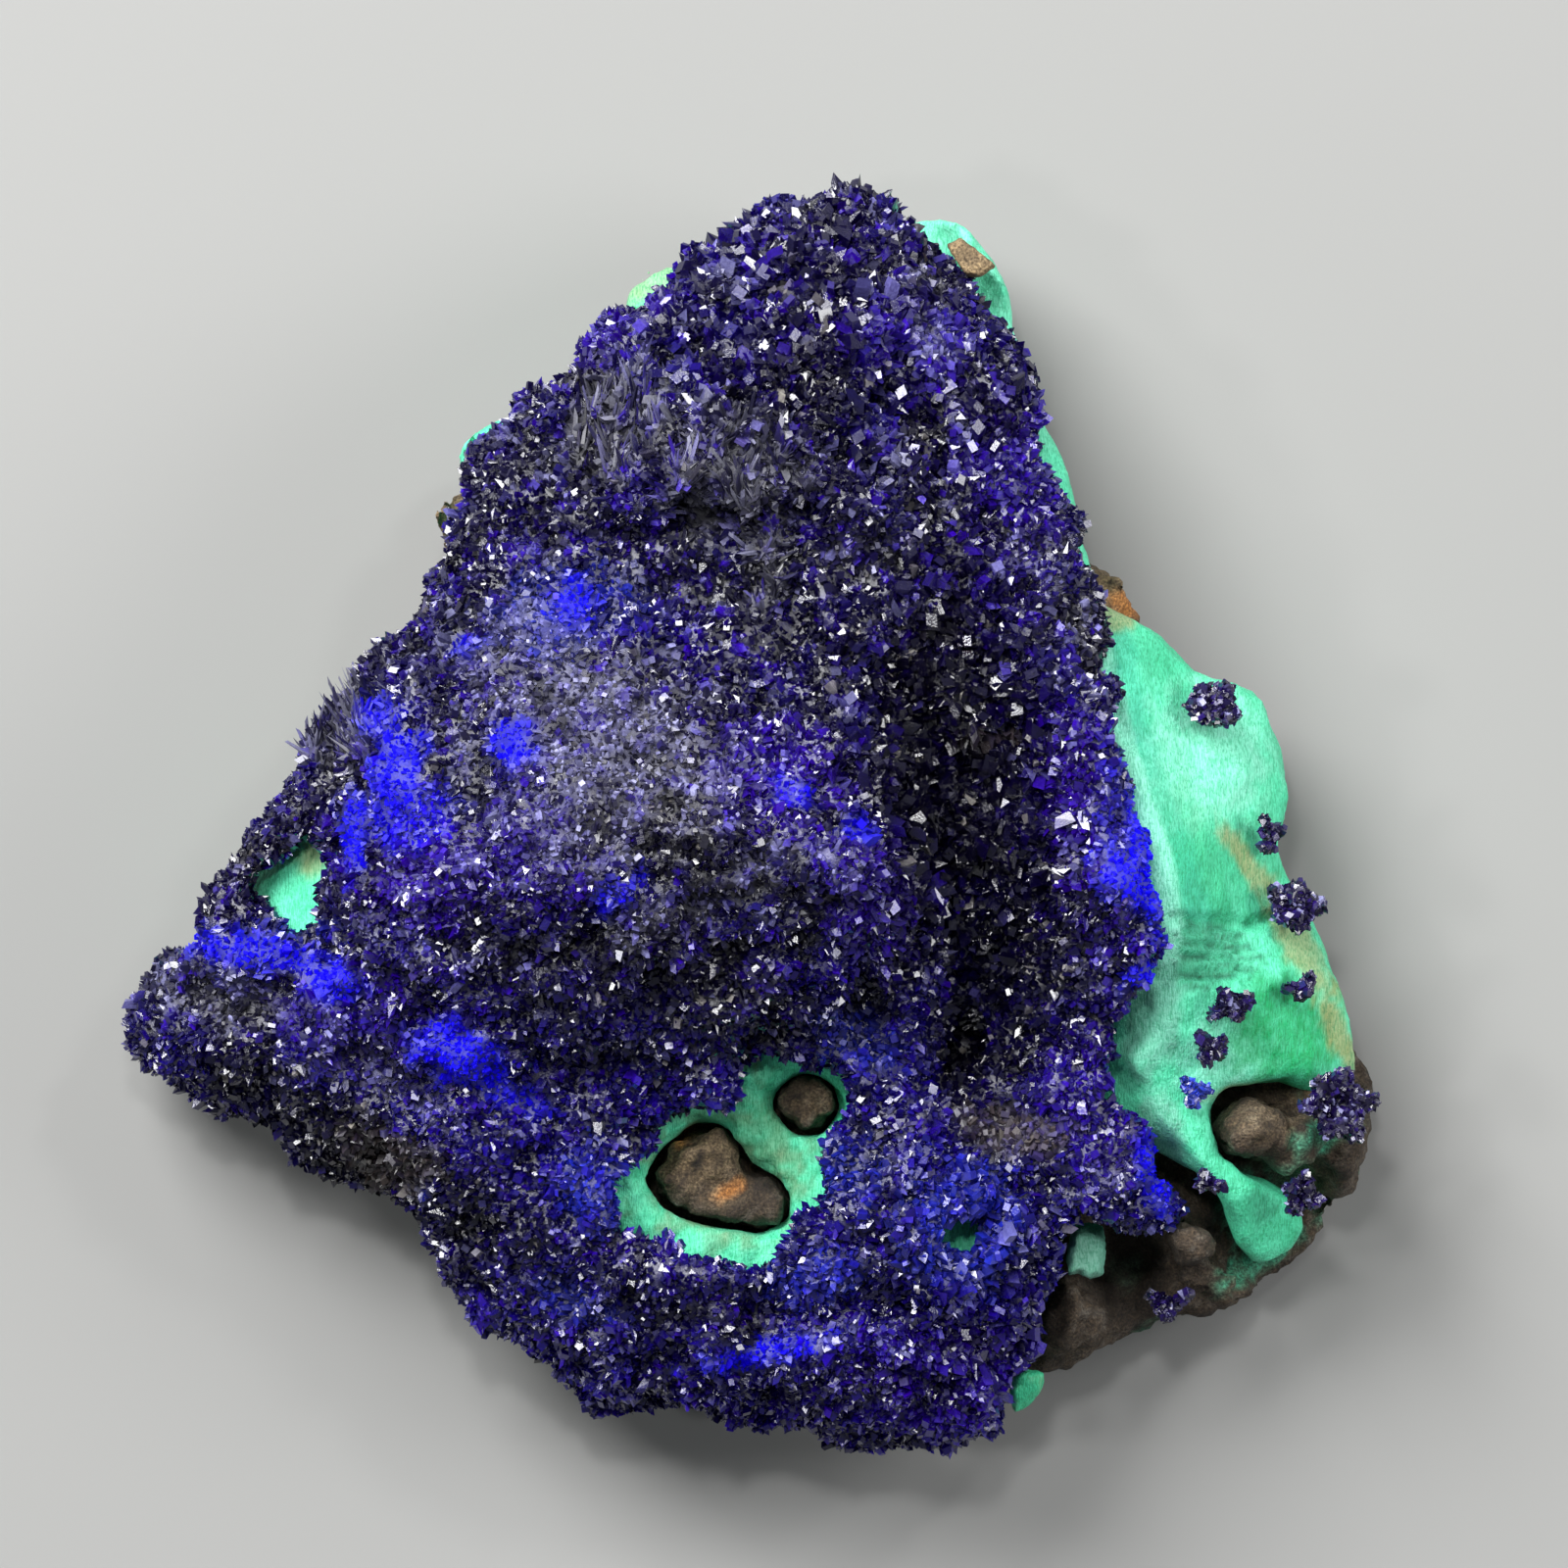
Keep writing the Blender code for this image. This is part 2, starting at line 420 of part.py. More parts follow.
# The surfaces of the three bodies
def crust_thickness(points):
    """Thick in the open, thin round the windows and along the green flank."""
    openings = [edge_distance(points, ring) for ring in CRUST_WINDOWS]
    by_window = eased(np.minimum.reduce(openings) / WINDOW_REACH)
    thickness = CRUST_AT_WINDOWS + (CRUST_THICKNESS - CRUST_AT_WINDOWS) * by_window
    flank = ramp(points[:, 0], FLANK_FROM) * ramp(points[:, 1], FLANK_ABOVE)
    return thickness + (CRUST_AT_FLANK - thickness) * flank


def crust_bottom(points):
    """Underside of the crust, with the wall it turns down at its rim."""
    rim = 1.0 - eased(edge_distance(points, CRUST_OUTLINE) / WALL_WIDTH)
    return crust_seat(points) - np.clip(wall_sheet(points), 0.0, None) * rim


def crust_top(points):
    """The display face, turned down at the rim where the crust has a wall."""
    (high, wide), (low, narrow) = CRUST_LUMPS
    lumps = high * uneven(points, wide, 1) + low * uneven(points, narrow, 2)
    rim = 1.0 - eased(edge_distance(points, CRUST_OUTLINE) / RIM_WIDTH)
    turned = RIM_TURN * np.clip(wall_sheet(points), 0.0, None) * rim
    least = crust_bottom(points) + CRUST_LEAST
    return np.maximum(crust_sheet(points) + lumps - turned, least)


def malachite_top(points):
    """Follows the crust where that lies on it, and its own relief outside."""
    under = crust_bottom(points) - crust_seat.clearance(points)
    within = depth_within(points, CRUST_OUTLINE)
    for ring, rise in zip(CRUST_WINDOWS, WINDOW_FLOOR_RISE):
        under = under + rise * ramp(depth_within(points, ring), WINDOW_FLOOR_RAMP)
    high, wide = LAYER_LUMPS
    own = malachite_sheet(points) + high * uneven(points, wide, 3)
    bare = 1.0 - eased(within / LAYER_MEETS_CRUST)
    covered = under + (np.minimum(own, under) - under) * bare
    return np.where(within > -LAYER_TUCKED_UNDER, covered, own)


def layer_thickness(points):
    """Thicker where it is bare on the flank, thin at the upper rims."""
    bare = 1.0 - eased((depth_within(points, CRUST_OUTLINE) + 2.0) / 3.0)
    shown = np.where(points[:, 0] > 9.0, FLANK_THICKNESS, RIM_THICKNESS)
    return LAYER_THICKNESS + (shown - LAYER_THICKNESS) * bare


def malachite_bottom(points):
    thickness = layer_thickness(points)
    return np.maximum(malachite_seat(points) - thickness, malachite_top(points) - LAYER_MOST * thickness)


def matrix_top(points):
    """Below whatever lies on it; its own lumps where it is bare."""
    high, wide = ROCK_UNEVENNESS
    own = matrix_sheet(points) + high * uneven(points, wide, 4)
    under_layer = malachite_bottom(points) - malachite_seat.clearance(points)
    under_crust = crust_bottom(points) - crust_seat.clearance(points)
    past_layer = -depth_within(points, MALACHITE_OUTLINE) - FREE_EDGE
    past_crust = -depth_within(points, CRUST_OUTLINE) - FREE_EDGE
    limit = np.minimum(under_layer + EDGE_RAMP * np.clip(past_layer, 0.0, None),
                       under_crust + EDGE_RAMP * np.clip(past_crust, 0.0, None))
    bare = ramp(points[:, 0], BARE_ROCK_EAST) * (1.0 - ramp(points[:, 1], BARE_ROCK_SOUTH))
    bare = np.maximum(bare, np.where(np.minimum(past_layer, past_crust) > 0.0, 1.0, 0.0))
    return np.minimum(limit, own) * bare + limit * (1.0 - bare)


def matrix_bottom(points):
    """A broad flat foot, cut level later, with broken hollows and ridges round it."""
    foot = foot_sheet(points)
    broken = eased((foot - 0.1) / 1.4)
    (high, wide), (low, narrow) = UNDERSIDE_LUMPS
    rough = foot + broken * (high * uneven(points, wide, 5) + low * uneven(points, narrow, 6))
    return np.minimum(rough, matrix_top(points) - MATRIX_LEAST)


def lump_top(points):
    """How high the lumps of host rock come up; far below where there is none."""
    highest = np.full(len(points), -HEIGHT_REACH)
    for across, along, top, wide, tall, turn in ROCK_LUMPS:
        angle = math.radians(turn)
        floor = matrix_top(np.array([(across, along)]))[0]
        dx, dy = points[:, 0] - across, points[:, 1] - along
        u = (dx * math.cos(angle) + dy * math.sin(angle)) / wide
        v = (dy * math.cos(angle) - dx * math.sin(angle)) / tall
        inward = 1.0 - (u ** 2 + v ** 2) / (1.0 + LUMP_UNEVENNESS) ** 2
        height = floor + (top - floor) * np.clip(inward, 0.0, None) ** 0.25
        highest = np.where(inward > 0.0, np.maximum(highest, height), highest)
    return highest


def bare_top(points):
    """The surface the loose groups of crystals stand on."""
    on_layer = inside(points, MALACHITE_OUTLINE)
    surface = np.where(on_layer, malachite_top(points), matrix_top(points))
    return np.maximum(surface, lump_top(points))


crust_sheet = Relief(CRUST_RELIEF, LEDGES.values())
malachite_sheet = Relief(MALACHITE_RELIEF)
matrix_sheet = Relief(MATRIX_RELIEF)
foot_sheet = Relief(FOOT_RELIEF)
wall_sheet = Relief(WALL_DEPTH)
crust_backing = Softened(crust_sheet, 1.2)
crust_seat = Softened(lambda points: crust_backing(points) - crust_thickness(points), 0.0)
malachite_seat = Softened(malachite_top, 1.2)


# Shaping tools
def stage_object(name, data):
    """An object in the workshop collection, for a shape that is still being made."""
    made = bpy.data.objects.new(name, data)
    workshop.objects.link(made)
    return made


def settled_mesh(made):
    """The mesh an object shows with its modifiers, after which the object goes."""
    graph = bpy.context.evaluated_depsgraph_get()
    mesh = bpy.data.meshes.new_from_object(made.evaluated_get(graph))
    bpy.data.objects.remove(made)
    return mesh


def plan_slab(name, outline, openings=()):
    """A flat slab with openings, cut out of evenly small squares."""
    curve = bpy.data.curves.new(name, "CURVE")
    curve.dimensions = "2D"
    curve.fill_mode = "BOTH"
    curve.extrude = SLAB_DEPTH / 2
    for ring in (outline, *openings):
        spline = curve.splines.new("POLY")
        spline.points.add(len(ring) - 1)
        for corner, (x, y) in zip(spline.points, ring):
            corner.co = (x, y, 0.0, 1.0)
        spline.use_cyclic_u = True
    flat = settled_mesh(stage_object(name, curve))
    weld(flat, 0.001)
    squares = stage_object(name, flat)
    even = squares.modifiers.new("even squares", "REMESH")
    even.mode = "VOXEL"
    even.voxel_size = GRAIN_OF_SHAPE
    return settled_mesh(squares)


def weld(mesh, distance):
    form = bmesh.new()
    form.from_mesh(mesh)
    bmesh.ops.remove_doubles(form, verts=form.verts, dist=distance)
    bmesh.ops.recalc_face_normals(form, faces=form.faces)
    form.to_mesh(mesh)
    form.free()


def bend(mesh, bottom, top, raggedness, layer):
    """Lay a flat slab between two surfaces and make its sides ragged."""
    corners = np.empty(len(mesh.vertices) * 3)
    mesh.vertices.foreach_get("co", corners)
    corners = corners.reshape(-1, 3)
    share = np.clip(corners[:, 2] / SLAB_DEPTH + 0.5, 0.0, 1.0)
    plan = corners[:, :2].copy()
    drift = (layer + SWAY_TURN * share)[:, None]
    sway = np.column_stack([
        uneven(plan + drift, SWAY_GRAIN, layer), uneven(plan - drift, SWAY_GRAIN, -layer)])
    plan = plan + raggedness * sway
    low, high = bottom(plan), top(plan)
    corners[:, :2] = plan
    corners[:, 2] = low + share * (high - low)
    mesh.vertices.foreach_set("co", corners.ravel())
    mesh.update()


def fewer_triangles(mesh, count):
    """The same shape with about the given number of triangles."""
    mesh.calc_loop_triangles()
    share = count / len(mesh.loop_triangles)
    made = stage_object(mesh.name, mesh)
    collapse = made.modifiers.new("fewer triangles", "DECIMATE")
    collapse.ratio = min(1.0, share)
    collapse.use_collapse_triangulate = True
    return settled_mesh(made)


def joined(meshes, name):
    form = bmesh.new()
    for mesh in meshes:
        form.from_mesh(mesh)
    whole = bpy.data.meshes.new(name)
    form.to_mesh(whole)
    form.free()
    return whole


def combined(base, other, operation):
    """Two closed meshes fused or cut."""
    body = stage_object(base.name, base)
    tool = stage_object("tool", other)
    step = body.modifiers.new(operation.lower(), "BOOLEAN")
    step.operation = operation
    step.solver = "EXACT"
    step.object = tool
    mesh = settled_mesh(body)
    bpy.data.objects.remove(tool)
    return mesh


def cut_level(mesh, height):
    """Take away what lies below a height and close the cut with one flat face."""
    form = bmesh.new()
    form.from_mesh(mesh)
    everything = form.verts[:] + form.edges[:] + form.faces[:]
    bmesh.ops.bisect_plane(
        form, geom=everything, dist=1e-5, plane_co=(0, 0, height), plane_no=(0, 0, 1),
        clear_inner=True)
    for corner in form.verts:
        if abs(corner.co.z - height) < 1e-4:
            corner.co.z = height
    rim = [edge for edge in form.edges if edge.is_boundary]
    bmesh.ops.holes_fill(form, edges=rim, sides=0)
    bmesh.ops.triangulate(form, faces=[face for face in form.faces if len(face.verts) > 3])
    bmesh.ops.recalc_face_normals(form, faces=form.faces)
    form.to_mesh(mesh)
    form.free()


def azurite_crystal(length, width, thickness):
    """A blocky four-sided crystal that ends in a chisel edge; it stands on the origin."""
    form = bmesh.new()
    bmesh.ops.create_cube(form, size=1.0)
    bmesh.ops.translate(form, verts=form.verts, vec=(0, 0, 0.5))
    bmesh.ops.scale(form, verts=form.verts, vec=(width, thickness, CHISEL_FROM * length))
    top = max(form.faces, key=lambda face: face.calc_center_median().z)
    tip = bmesh.ops.extrude_face_region(form, geom=[top])
    corners = [item for item in tip["geom"] if isinstance(item, bmesh.types.BMVert)]
    bmesh.ops.delete(form, geom=[top], context="FACES_ONLY")
    bmesh.ops.translate(form, verts=corners, vec=(0, 0, (1.0 - CHISEL_FROM) * length))
    bmesh.ops.scale(form, verts=corners, vec=(*CHISEL_EDGE, 1.0))
    bmesh.ops.recalc_face_normals(form, faces=form.faces)
    mesh = bpy.data.meshes.new("crystal")
    form.to_mesh(mesh)
    form.free()
    return mesh


def placed(mesh, place, direction, turn):
    """Stand a mesh on a place, along a direction, turned about itself."""
    upright = Vector((0, 0, 1)).rotation_difference(direction).to_matrix().to_4x4()
    mesh.transform(Matrix.Translation(place) @ upright @ Matrix.Rotation(turn, 4, "Z"))
    return mesh


def slope_normal(sheet, x, y):
    """Direction that stands out of a surface at one place."""
    around = np.array([
        (x + SLOPE_REACH, y), (x - SLOPE_REACH, y), (x, y + SLOPE_REACH), (x, y - SLOPE_REACH)])
    east, west, north, south = sheet(around)
    return Vector((west - east, south - north, 2 * SLOPE_REACH)).normalized()


# The pieces
def crust_crystals():
    """Larger crystals that stand out of the crust, none touching the next."""
    chance = random.Random(SEED)
    plan = []
    from_rim, from_window = CRYSTAL_INSET
    for _ in range(CRYSTAL_TRIES):
        spot = tuple(chance.uniform(*ends) for ends in CRYSTAL_FIELD)
        if all(math.dist(spot, other) > CRYSTAL_SPACING for other in plan):
            within = depth_within(np.array([spot]), CRUST_OUTLINE)[0]
            openings = [edge_distance(np.array([spot]), ring)[0] for ring in CRUST_WINDOWS]
            covered = any(inside(np.array([spot]), ring)[0] for ring in CRUST_WINDOWS)
            if within > from_rim and min(openings) > from_window and not covered:
                plan.append(spot)
    crystals = []
    heights = crust_top(np.array(plan))
    for (x, y), height in zip(plan, heights):
        out = slope_normal(crust_sheet, x, y)
        lean = Vector([chance.uniform(-CRYSTAL_LEAN, CRYSTAL_LEAN) for _ in range(3)])
        out = (out + lean + Vector((0, 0, CRYSTAL_UPWARD))).normalized()
        length = chance.uniform(*CRYSTAL_LENGTH)
        width = chance.uniform(*CRYSTAL_WIDTH)
        form = azurite_crystal(length, width, width * chance.uniform(*CRYSTAL_FLATNESS))
        foot = Vector((x, y, height)) - out * (length - chance.uniform(*CRYSTAL_SHOWS))
        crystals.append(placed(form, foot, out, chance.uniform(0, math.pi)))
    print("crystals on the crust:", len(crystals))
    return joined(crystals, "crystals")


def make_crust():
    mesh = plan_slab("crust", CRUST_OUTLINE, CRUST_WINDOWS)
    bend(mesh, crust_bottom, crust_top, *CRUST_SWAY)
    mesh = fewer_triangles(mesh, CRUST_TRIANGLES)
    return combined(mesh, crust_crystals(), "UNION")


def make_malachite():
    mesh = plan_slab("malachite", MALACHITE_OUTLINE, (BROWN_POCKET, OLIVE_POCKET))
    bend(mesh, malachite_bottom, malachite_top, *LAYER_SWAY)
    return fewer_triangles(mesh, LAYER_TRIANGLES)


def rock_lump(across, along, top, wide, tall, turn, seed):
    """A broken lump with steep sides; its middle lies where the rock's own surface is."""
    floor = matrix_top(np.array([(across, along)]))[0]
    form = bmesh.new()
    bmesh.ops.create_icosphere(form, subdivisions=2, radius=1.0)
    for corner in form.verts:
        level = math.copysign(abs(corner.co.z) ** LUMP_SHOULDER, corner.co.z)
        girth = (1.0 - level ** 4) ** 0.5 / max(math.hypot(corner.co.x, corner.co.y), 1e-6)
        bulge = 1.0 + LUMP_UNEVENNESS * noise.noise(2.1 * corner.co + Vector((seed, 0.0, 0.0)))
        corner.co = bulge * Vector((
            corner.co.x * girth * wide, corner.co.y * girth * tall, level * (top - floor)))
    mesh = bpy.data.meshes.new("lump")
    form.to_mesh(mesh)
    form.free()
    about = Matrix.Rotation(math.radians(turn), 4, "Z")
    mesh.transform(Matrix.Translation((across, along, floor)) @ about)
    return mesh


def drawn_smaller(ring, distance):
    """A clockwise outline moved inward by a distance all round."""
    corners = np.array(ring)
    along = np.roll(corners, -1, axis=0) - corners
    along /= np.linalg.norm(along, axis=1, keepdims=True)
    inward = np.column_stack([along[:, 1], -along[:, 0]])
    before = np.roll(inward, 1, axis=0)
    reach = 1.0 + (inward * before).sum(axis=1, keepdims=True)
    return [tuple(corner) for corner in corners + distance * (inward + before) / reach]


def pocket_floor(points):
    """Top of the rock that fills a pocket in the green: a little below its rim."""
    high, wide = FILL_LUMPS
    return malachite_top(points) - FILL_BELOW_RIM + high * uneven(points, wide, 8)


def pocket_fill(ring, triangles):
    """Host rock that comes up through a pocket in the green layer and fills it."""
    mesh = plan_slab("fill", drawn_smaller(ring, FILL_GAP))
    bend(mesh, lambda points: matrix_top(points) - FILL_ROOT, pocket_floor, *LAYER_SWAY)
    return fewer_triangles(mesh, triangles)


def make_matrix():
    mesh = plan_slab("matrix", MATRIX_OUTLINE)
    bend(mesh, matrix_bottom, matrix_top, *ROCK_SWAY)
    mesh = fewer_triangles(mesh, MATRIX_TRIANGLES)
    for ring, triangles in zip((BROWN_POCKET, OLIVE_POCKET), FILL_TRIANGLES):
        mesh = combined(mesh, pocket_fill(ring, triangles), "UNION")
    for number, lump in enumerate(ROCK_LUMPS):
        mesh = combined(mesh, rock_lump(*lump, SEED + number), "UNION")
    cut_level(mesh, 0.0)
    return mesh


def seated(mesh, across, along, reach):
    """Set a small piece down on the bare surface, tilted with it and clear of it."""
    turns = np.arange(12) * math.pi / 6
    rim = reach * np.column_stack([np.cos(turns), np.sin(turns)])
    around = np.vstack([share * rim for share in SEAT_RINGS])
    heights = bare_top(around + (across, along))
    plane = np.column_stack([np.ones(len(around)), around])
    slopes = np.linalg.lstsq(plane, heights, rcond=None)[0][1:]
    east, north = np.clip(slopes, -STEEPEST_SEAT, STEEPEST_SEAT)
    lift = (heights - around @ (east, north)).max() + SEAT_CLEARANCE * CONTACT_GAP
    lean = Matrix.Identity(4)
    lean[2][0], lean[2][1] = east, north
    mesh.transform(Matrix.Translation((across, along, lift)) @ lean)
    return mesh


def make_cluster(across, along, length, breadth, turn, count, seed):
    """A small group of crystals that spread out of one low lump."""
    chance = random.Random(seed)
    form = bmesh.new()
    bmesh.ops.create_icosphere(form, subdivisions=1, radius=0.5)
    core_long, core_broad, core_high = GROUP_CORE
    bmesh.ops.scale(
        form, verts=form.verts, vec=(core_long * length, core_broad * breadth, core_high))
    mesh = bpy.data.meshes.new("lump")
    form.to_mesh(mesh)
    form.free()
    size = 0.5 * (length + breadth)
    by_size, least, most = GROUP_LENGTH
    wide, thick = GROUP_WIDTH
    for number in range(count):
        bearing = 2 * math.pi * (number + chance.uniform(-0.2, 0.2)) / count
        share = chance.uniform(*GROUP_SHARES)
        foot = Vector((GROUP_REACH * length * share * math.cos(bearing),
                       GROUP_REACH * breadth * share * math.sin(bearing), -GROUP_ROOT))
        lean = GROUP_LEAN * share
        out = Vector((lean * math.cos(bearing), lean * math.sin(bearing), 1.0))
        form = azurite_crystal(
            by_size * size + chance.uniform(least, most),
            wide * size * chance.uniform(*GROUP_VARIETY),
            thick * size * chance.uniform(*GROUP_VARIETY))
        crystal = placed(form, foot, out.normalized(), chance.uniform(0, math.pi))
        mesh = combined(mesh, crystal, "UNION")
    cut_level(mesh, 0.0)
    mesh.transform(Matrix.Rotation(math.radians(turn), 4, "Z"))
    return seated(mesh, across, along, 0.5 * max(length, breadth))


def broken_piece(height, outline, seed):
    """A small piece broken out of the rock: its outline stood up, its upper edge crumbled away."""
    corners = np.array(outline)
    across, along = corners.mean(axis=0)
    size, grain = PIECE_UNEVENNESS
    form = bmesh.new()
    ring = [form.verts.new((x - across, y - along, 0.0)) for x, y in outline]
    cap = form.faces.new(ring)
    for level, narrow in PIECE_LEVELS:
        raised = bmesh.ops.extrude_face_region(form, geom=[cap])["geom"]
        if level != PIECE_LEVELS[0][0]:
            bmesh.ops.delete(form, geom=[cap], context="FACES_ONLY")
        cap = next(item for item in raised if isinstance(item, bmesh.types.BMFace))
        for corner, (x, y) in zip(cap.verts, outline):
            place = Vector((grain * x, grain * y, 3.0 * level + seed))
            shift = Vector([noise.noise(place + Vector((0, 0, 4.7 * axis))) for axis in range(3)])
            corner.co = Vector((
                narrow * (x - across), narrow * (y - along), level * height)) + size * shift
    bmesh.ops.triangulate(form, faces=form.faces)
    bmesh.ops.recalc_face_normals(form, faces=form.faces)
    mesh = bpy.data.meshes.new("broken piece")
    form.to_mesh(mesh)
    form.free()
    reach = np.linalg.norm(corners - (across, along), axis=1).max()
    return seated(mesh, across, along, reach)


def finish_piece(name, mesh, material):
    """Clean a mesh, bring it to metres and show it as a named piece."""
    form = bmesh.new()
    form.from_mesh(mesh)
    bmesh.ops.remove_doubles(form, verts=form.verts, dist=0.004)
    bmesh.ops.dissolve_degenerate(form, edges=form.edges, dist=0.003)
    bmesh.ops.triangulate(form, faces=form.faces)
    bmesh.ops.recalc_face_normals(form, faces=form.faces)
    form.to_mesh(mesh)
    form.free()
    mesh.transform(Matrix.Scale(METRES, 4))
    mesh.materials.clear()
    mesh.materials.append(material)
    mesh.name = name
    pieces.objects.link(bpy.data.objects.new(name, mesh))
    print(name, "triangles:", len(mesh.polygons))


def stone(name, colour, roughness):
    material = bpy.data.materials.new(name)
    material.use_nodes = True
    surface = material.node_tree.nodes["Principled BSDF"]
    surface.inputs["Base Color"].default_value = (*colour, 1.0)
    surface.inputs["Roughness"].default_value = roughness
    surface.inputs["Metallic"].default_value = 0.0
    material.diffuse_color = (*colour, 1.0)
    return material


for leftover in list(bpy.data.objects):
    bpy.data.objects.remove(leftover)
workshop = bpy.data.collections.new("workshop")
pieces = bpy.data.collections.new(SPECIMEN)
for collection in (workshop, pieces):
    bpy.context.scene.collection.children.link(collection)

azurite = stone("azurite", (0.012, 0.006, 0.20), 0.28)
malachite = stone("malachite", (0.10, 0.62, 0.42), 0.62)
limonite = stone("limonite", (0.13, 0.09, 0.055), 0.88)

finish_piece("azurite_crust", make_crust(), azurite)
finish_piece("malachite_layer", make_malachite(), malachite)
finish_piece("limonite_matrix", make_matrix(), limonite)
for index, cluster in enumerate(CLUSTERS):
    finish_piece(f"azurite_cluster_{index + 1:02d}", make_cluster(*cluster, SEED + index), azurite)
finish_piece("malachite_column", broken_piece(*COLUMN, 3.0), malachite)
finish_piece("malachite_nub", broken_piece(*NUB, 5.0), malachite)
finish_piece("limonite_chip", broken_piece(*CHIP, 8.0), limonite)
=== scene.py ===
# %% [markdown]
# An azurite specimen, dressed.
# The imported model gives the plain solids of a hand-sized piece of rock: a dark blue crust, a green
# layer below it and brown host rock at the back. This script dresses them: it grows the fine
# crystals, gives the green and brown their own texture, and lights and frames the whole.
# Shapes are worked out in millimetres and turned into metres when a piece is finished.

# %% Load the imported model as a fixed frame
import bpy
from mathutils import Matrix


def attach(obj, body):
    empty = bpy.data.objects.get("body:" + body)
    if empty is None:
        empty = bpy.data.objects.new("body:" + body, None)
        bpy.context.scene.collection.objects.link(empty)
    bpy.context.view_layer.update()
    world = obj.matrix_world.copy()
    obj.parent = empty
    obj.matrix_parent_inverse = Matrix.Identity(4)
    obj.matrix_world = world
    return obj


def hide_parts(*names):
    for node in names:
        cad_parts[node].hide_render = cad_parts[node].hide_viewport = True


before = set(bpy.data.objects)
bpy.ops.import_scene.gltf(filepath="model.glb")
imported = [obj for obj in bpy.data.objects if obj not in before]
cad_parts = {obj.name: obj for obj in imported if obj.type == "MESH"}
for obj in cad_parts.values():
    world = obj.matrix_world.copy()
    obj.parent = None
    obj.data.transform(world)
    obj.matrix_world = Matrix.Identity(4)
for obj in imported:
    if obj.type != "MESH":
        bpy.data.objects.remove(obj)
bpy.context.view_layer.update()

print("solids in the frame:", len(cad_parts))

# %% Import what the making needs
import math

import bmesh
import bpy
import numpy as np
from mathutils import Vector, noise
from mathutils.bvhtree import BVHTree

METRES = 0.001
MILLIMETRES = 1000.0
SEED = 4127
scene = bpy.context.scene

# %% [markdown]
# Two kinds of shape are used over and over. A "sheet" is a fine copy of one of the solids, made of
# small even squares, so that it can be pushed in and out by noise. "Crystals" are little blocks
# with slanted tops, thousands at a time, planted on a sheet. Both are worked on as plain arrays of
# points, because moving a hundred thousand points one by one in Blender's own lists is slow.

# %% Points and normals of a mesh as arrays
def corner_points(mesh):
    """Where the corners of a mesh are, one row each."""
    flat = np.empty(len(mesh.vertices) * 3, dtype=np.float32)
    mesh.vertices.foreach_get("co", flat)
    return flat.reshape(-1, 3).astype(float)


def corner_normals(mesh):
    """Which way the surface faces at each corner."""
    flat = np.empty(len(mesh.vertices) * 3, dtype=np.float32)
    mesh.vertex_normals.foreach_get("vector", flat)
    return flat.reshape(-1, 3).astype(float)


def put_points(mesh, points):
    """Move the corners of a mesh."""
    mesh.vertices.foreach_set("co", points.astype(np.float32).ravel())
    mesh.update()


def eased(values):
    """0 to 1 with soft ends, for values that run from 0 to 1."""
    held = np.clip(values, 0.0, 1.0)
    return held * held * (3.0 - 2.0 * held)


def unit(rows):
    """Each row scaled to length one."""
    return rows / np.maximum(np.linalg.norm(rows, axis=1, keepdims=True), 1e-9)


# %% Noise at many points
def ripple(points, grain, seed, octaves=3):
    """Smooth noise, about -1 to 1, at every point; grain is the size of its bumps."""
    shift = Vector((seed * 7.31, seed * -3.17, seed * 1.93))
    return np.array([
        noise.fractal(Vector(point) / grain + shift, 1.0, 2.0, octaves) for point in points
    ])


def pebbled(points, grain, seed):
    """Rounded bumps packed side by side: 1 at the middle of each, 0 in the joints."""
    shift = Vector((seed * 5.3, seed * 2.9, seed * -4.1))
    nearest = np.array([noise.voronoi(Vector(point) / grain + shift)[0][0] for point in points])
    return 1.0 - np.clip(nearest * 1.35, 0.0, 1.0)


# %% Solids in millimetres, for copying and for finding out what covers what
def solid_in_millimetres(node):
    """The solid's mesh, its split corners welded, in millimetres."""
    shape = bmesh.new()
    shape.from_mesh(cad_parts[node].data)
    bmesh.ops.scale(shape, vec=(MILLIMETRES, MILLIMETRES, MILLIMETRES), verts=shape.verts)
    bmesh.ops.remove_doubles(shape, verts=shape.verts, dist=0.001)
    return shape


def tree_of(node):
    """The solid as a tree that rays can be cast at."""
    shape = solid_in_millimetres(node)
    tree = BVHTree.FromBMesh(shape)
    shape.free()
    return tree


crust_tree = tree_of("azurite_crust")
layer_tree = tree_of("malachite_layer")
matrix_tree = tree_of("limonite_matrix")


def covered(points, normals, trees, reach):
    """True where another piece lies less than reach outside the surface."""
    answer = np.zeros(len(points), dtype=bool)
    for index, (point, normal) in enumerate(zip(points, normals)):
        ray = Vector(normal)
        start = Vector(point) + ray * 0.02
        answer[index] = any(tree.ray_cast(start, ray, reach)[0] is not None for tree in trees)
    return answer


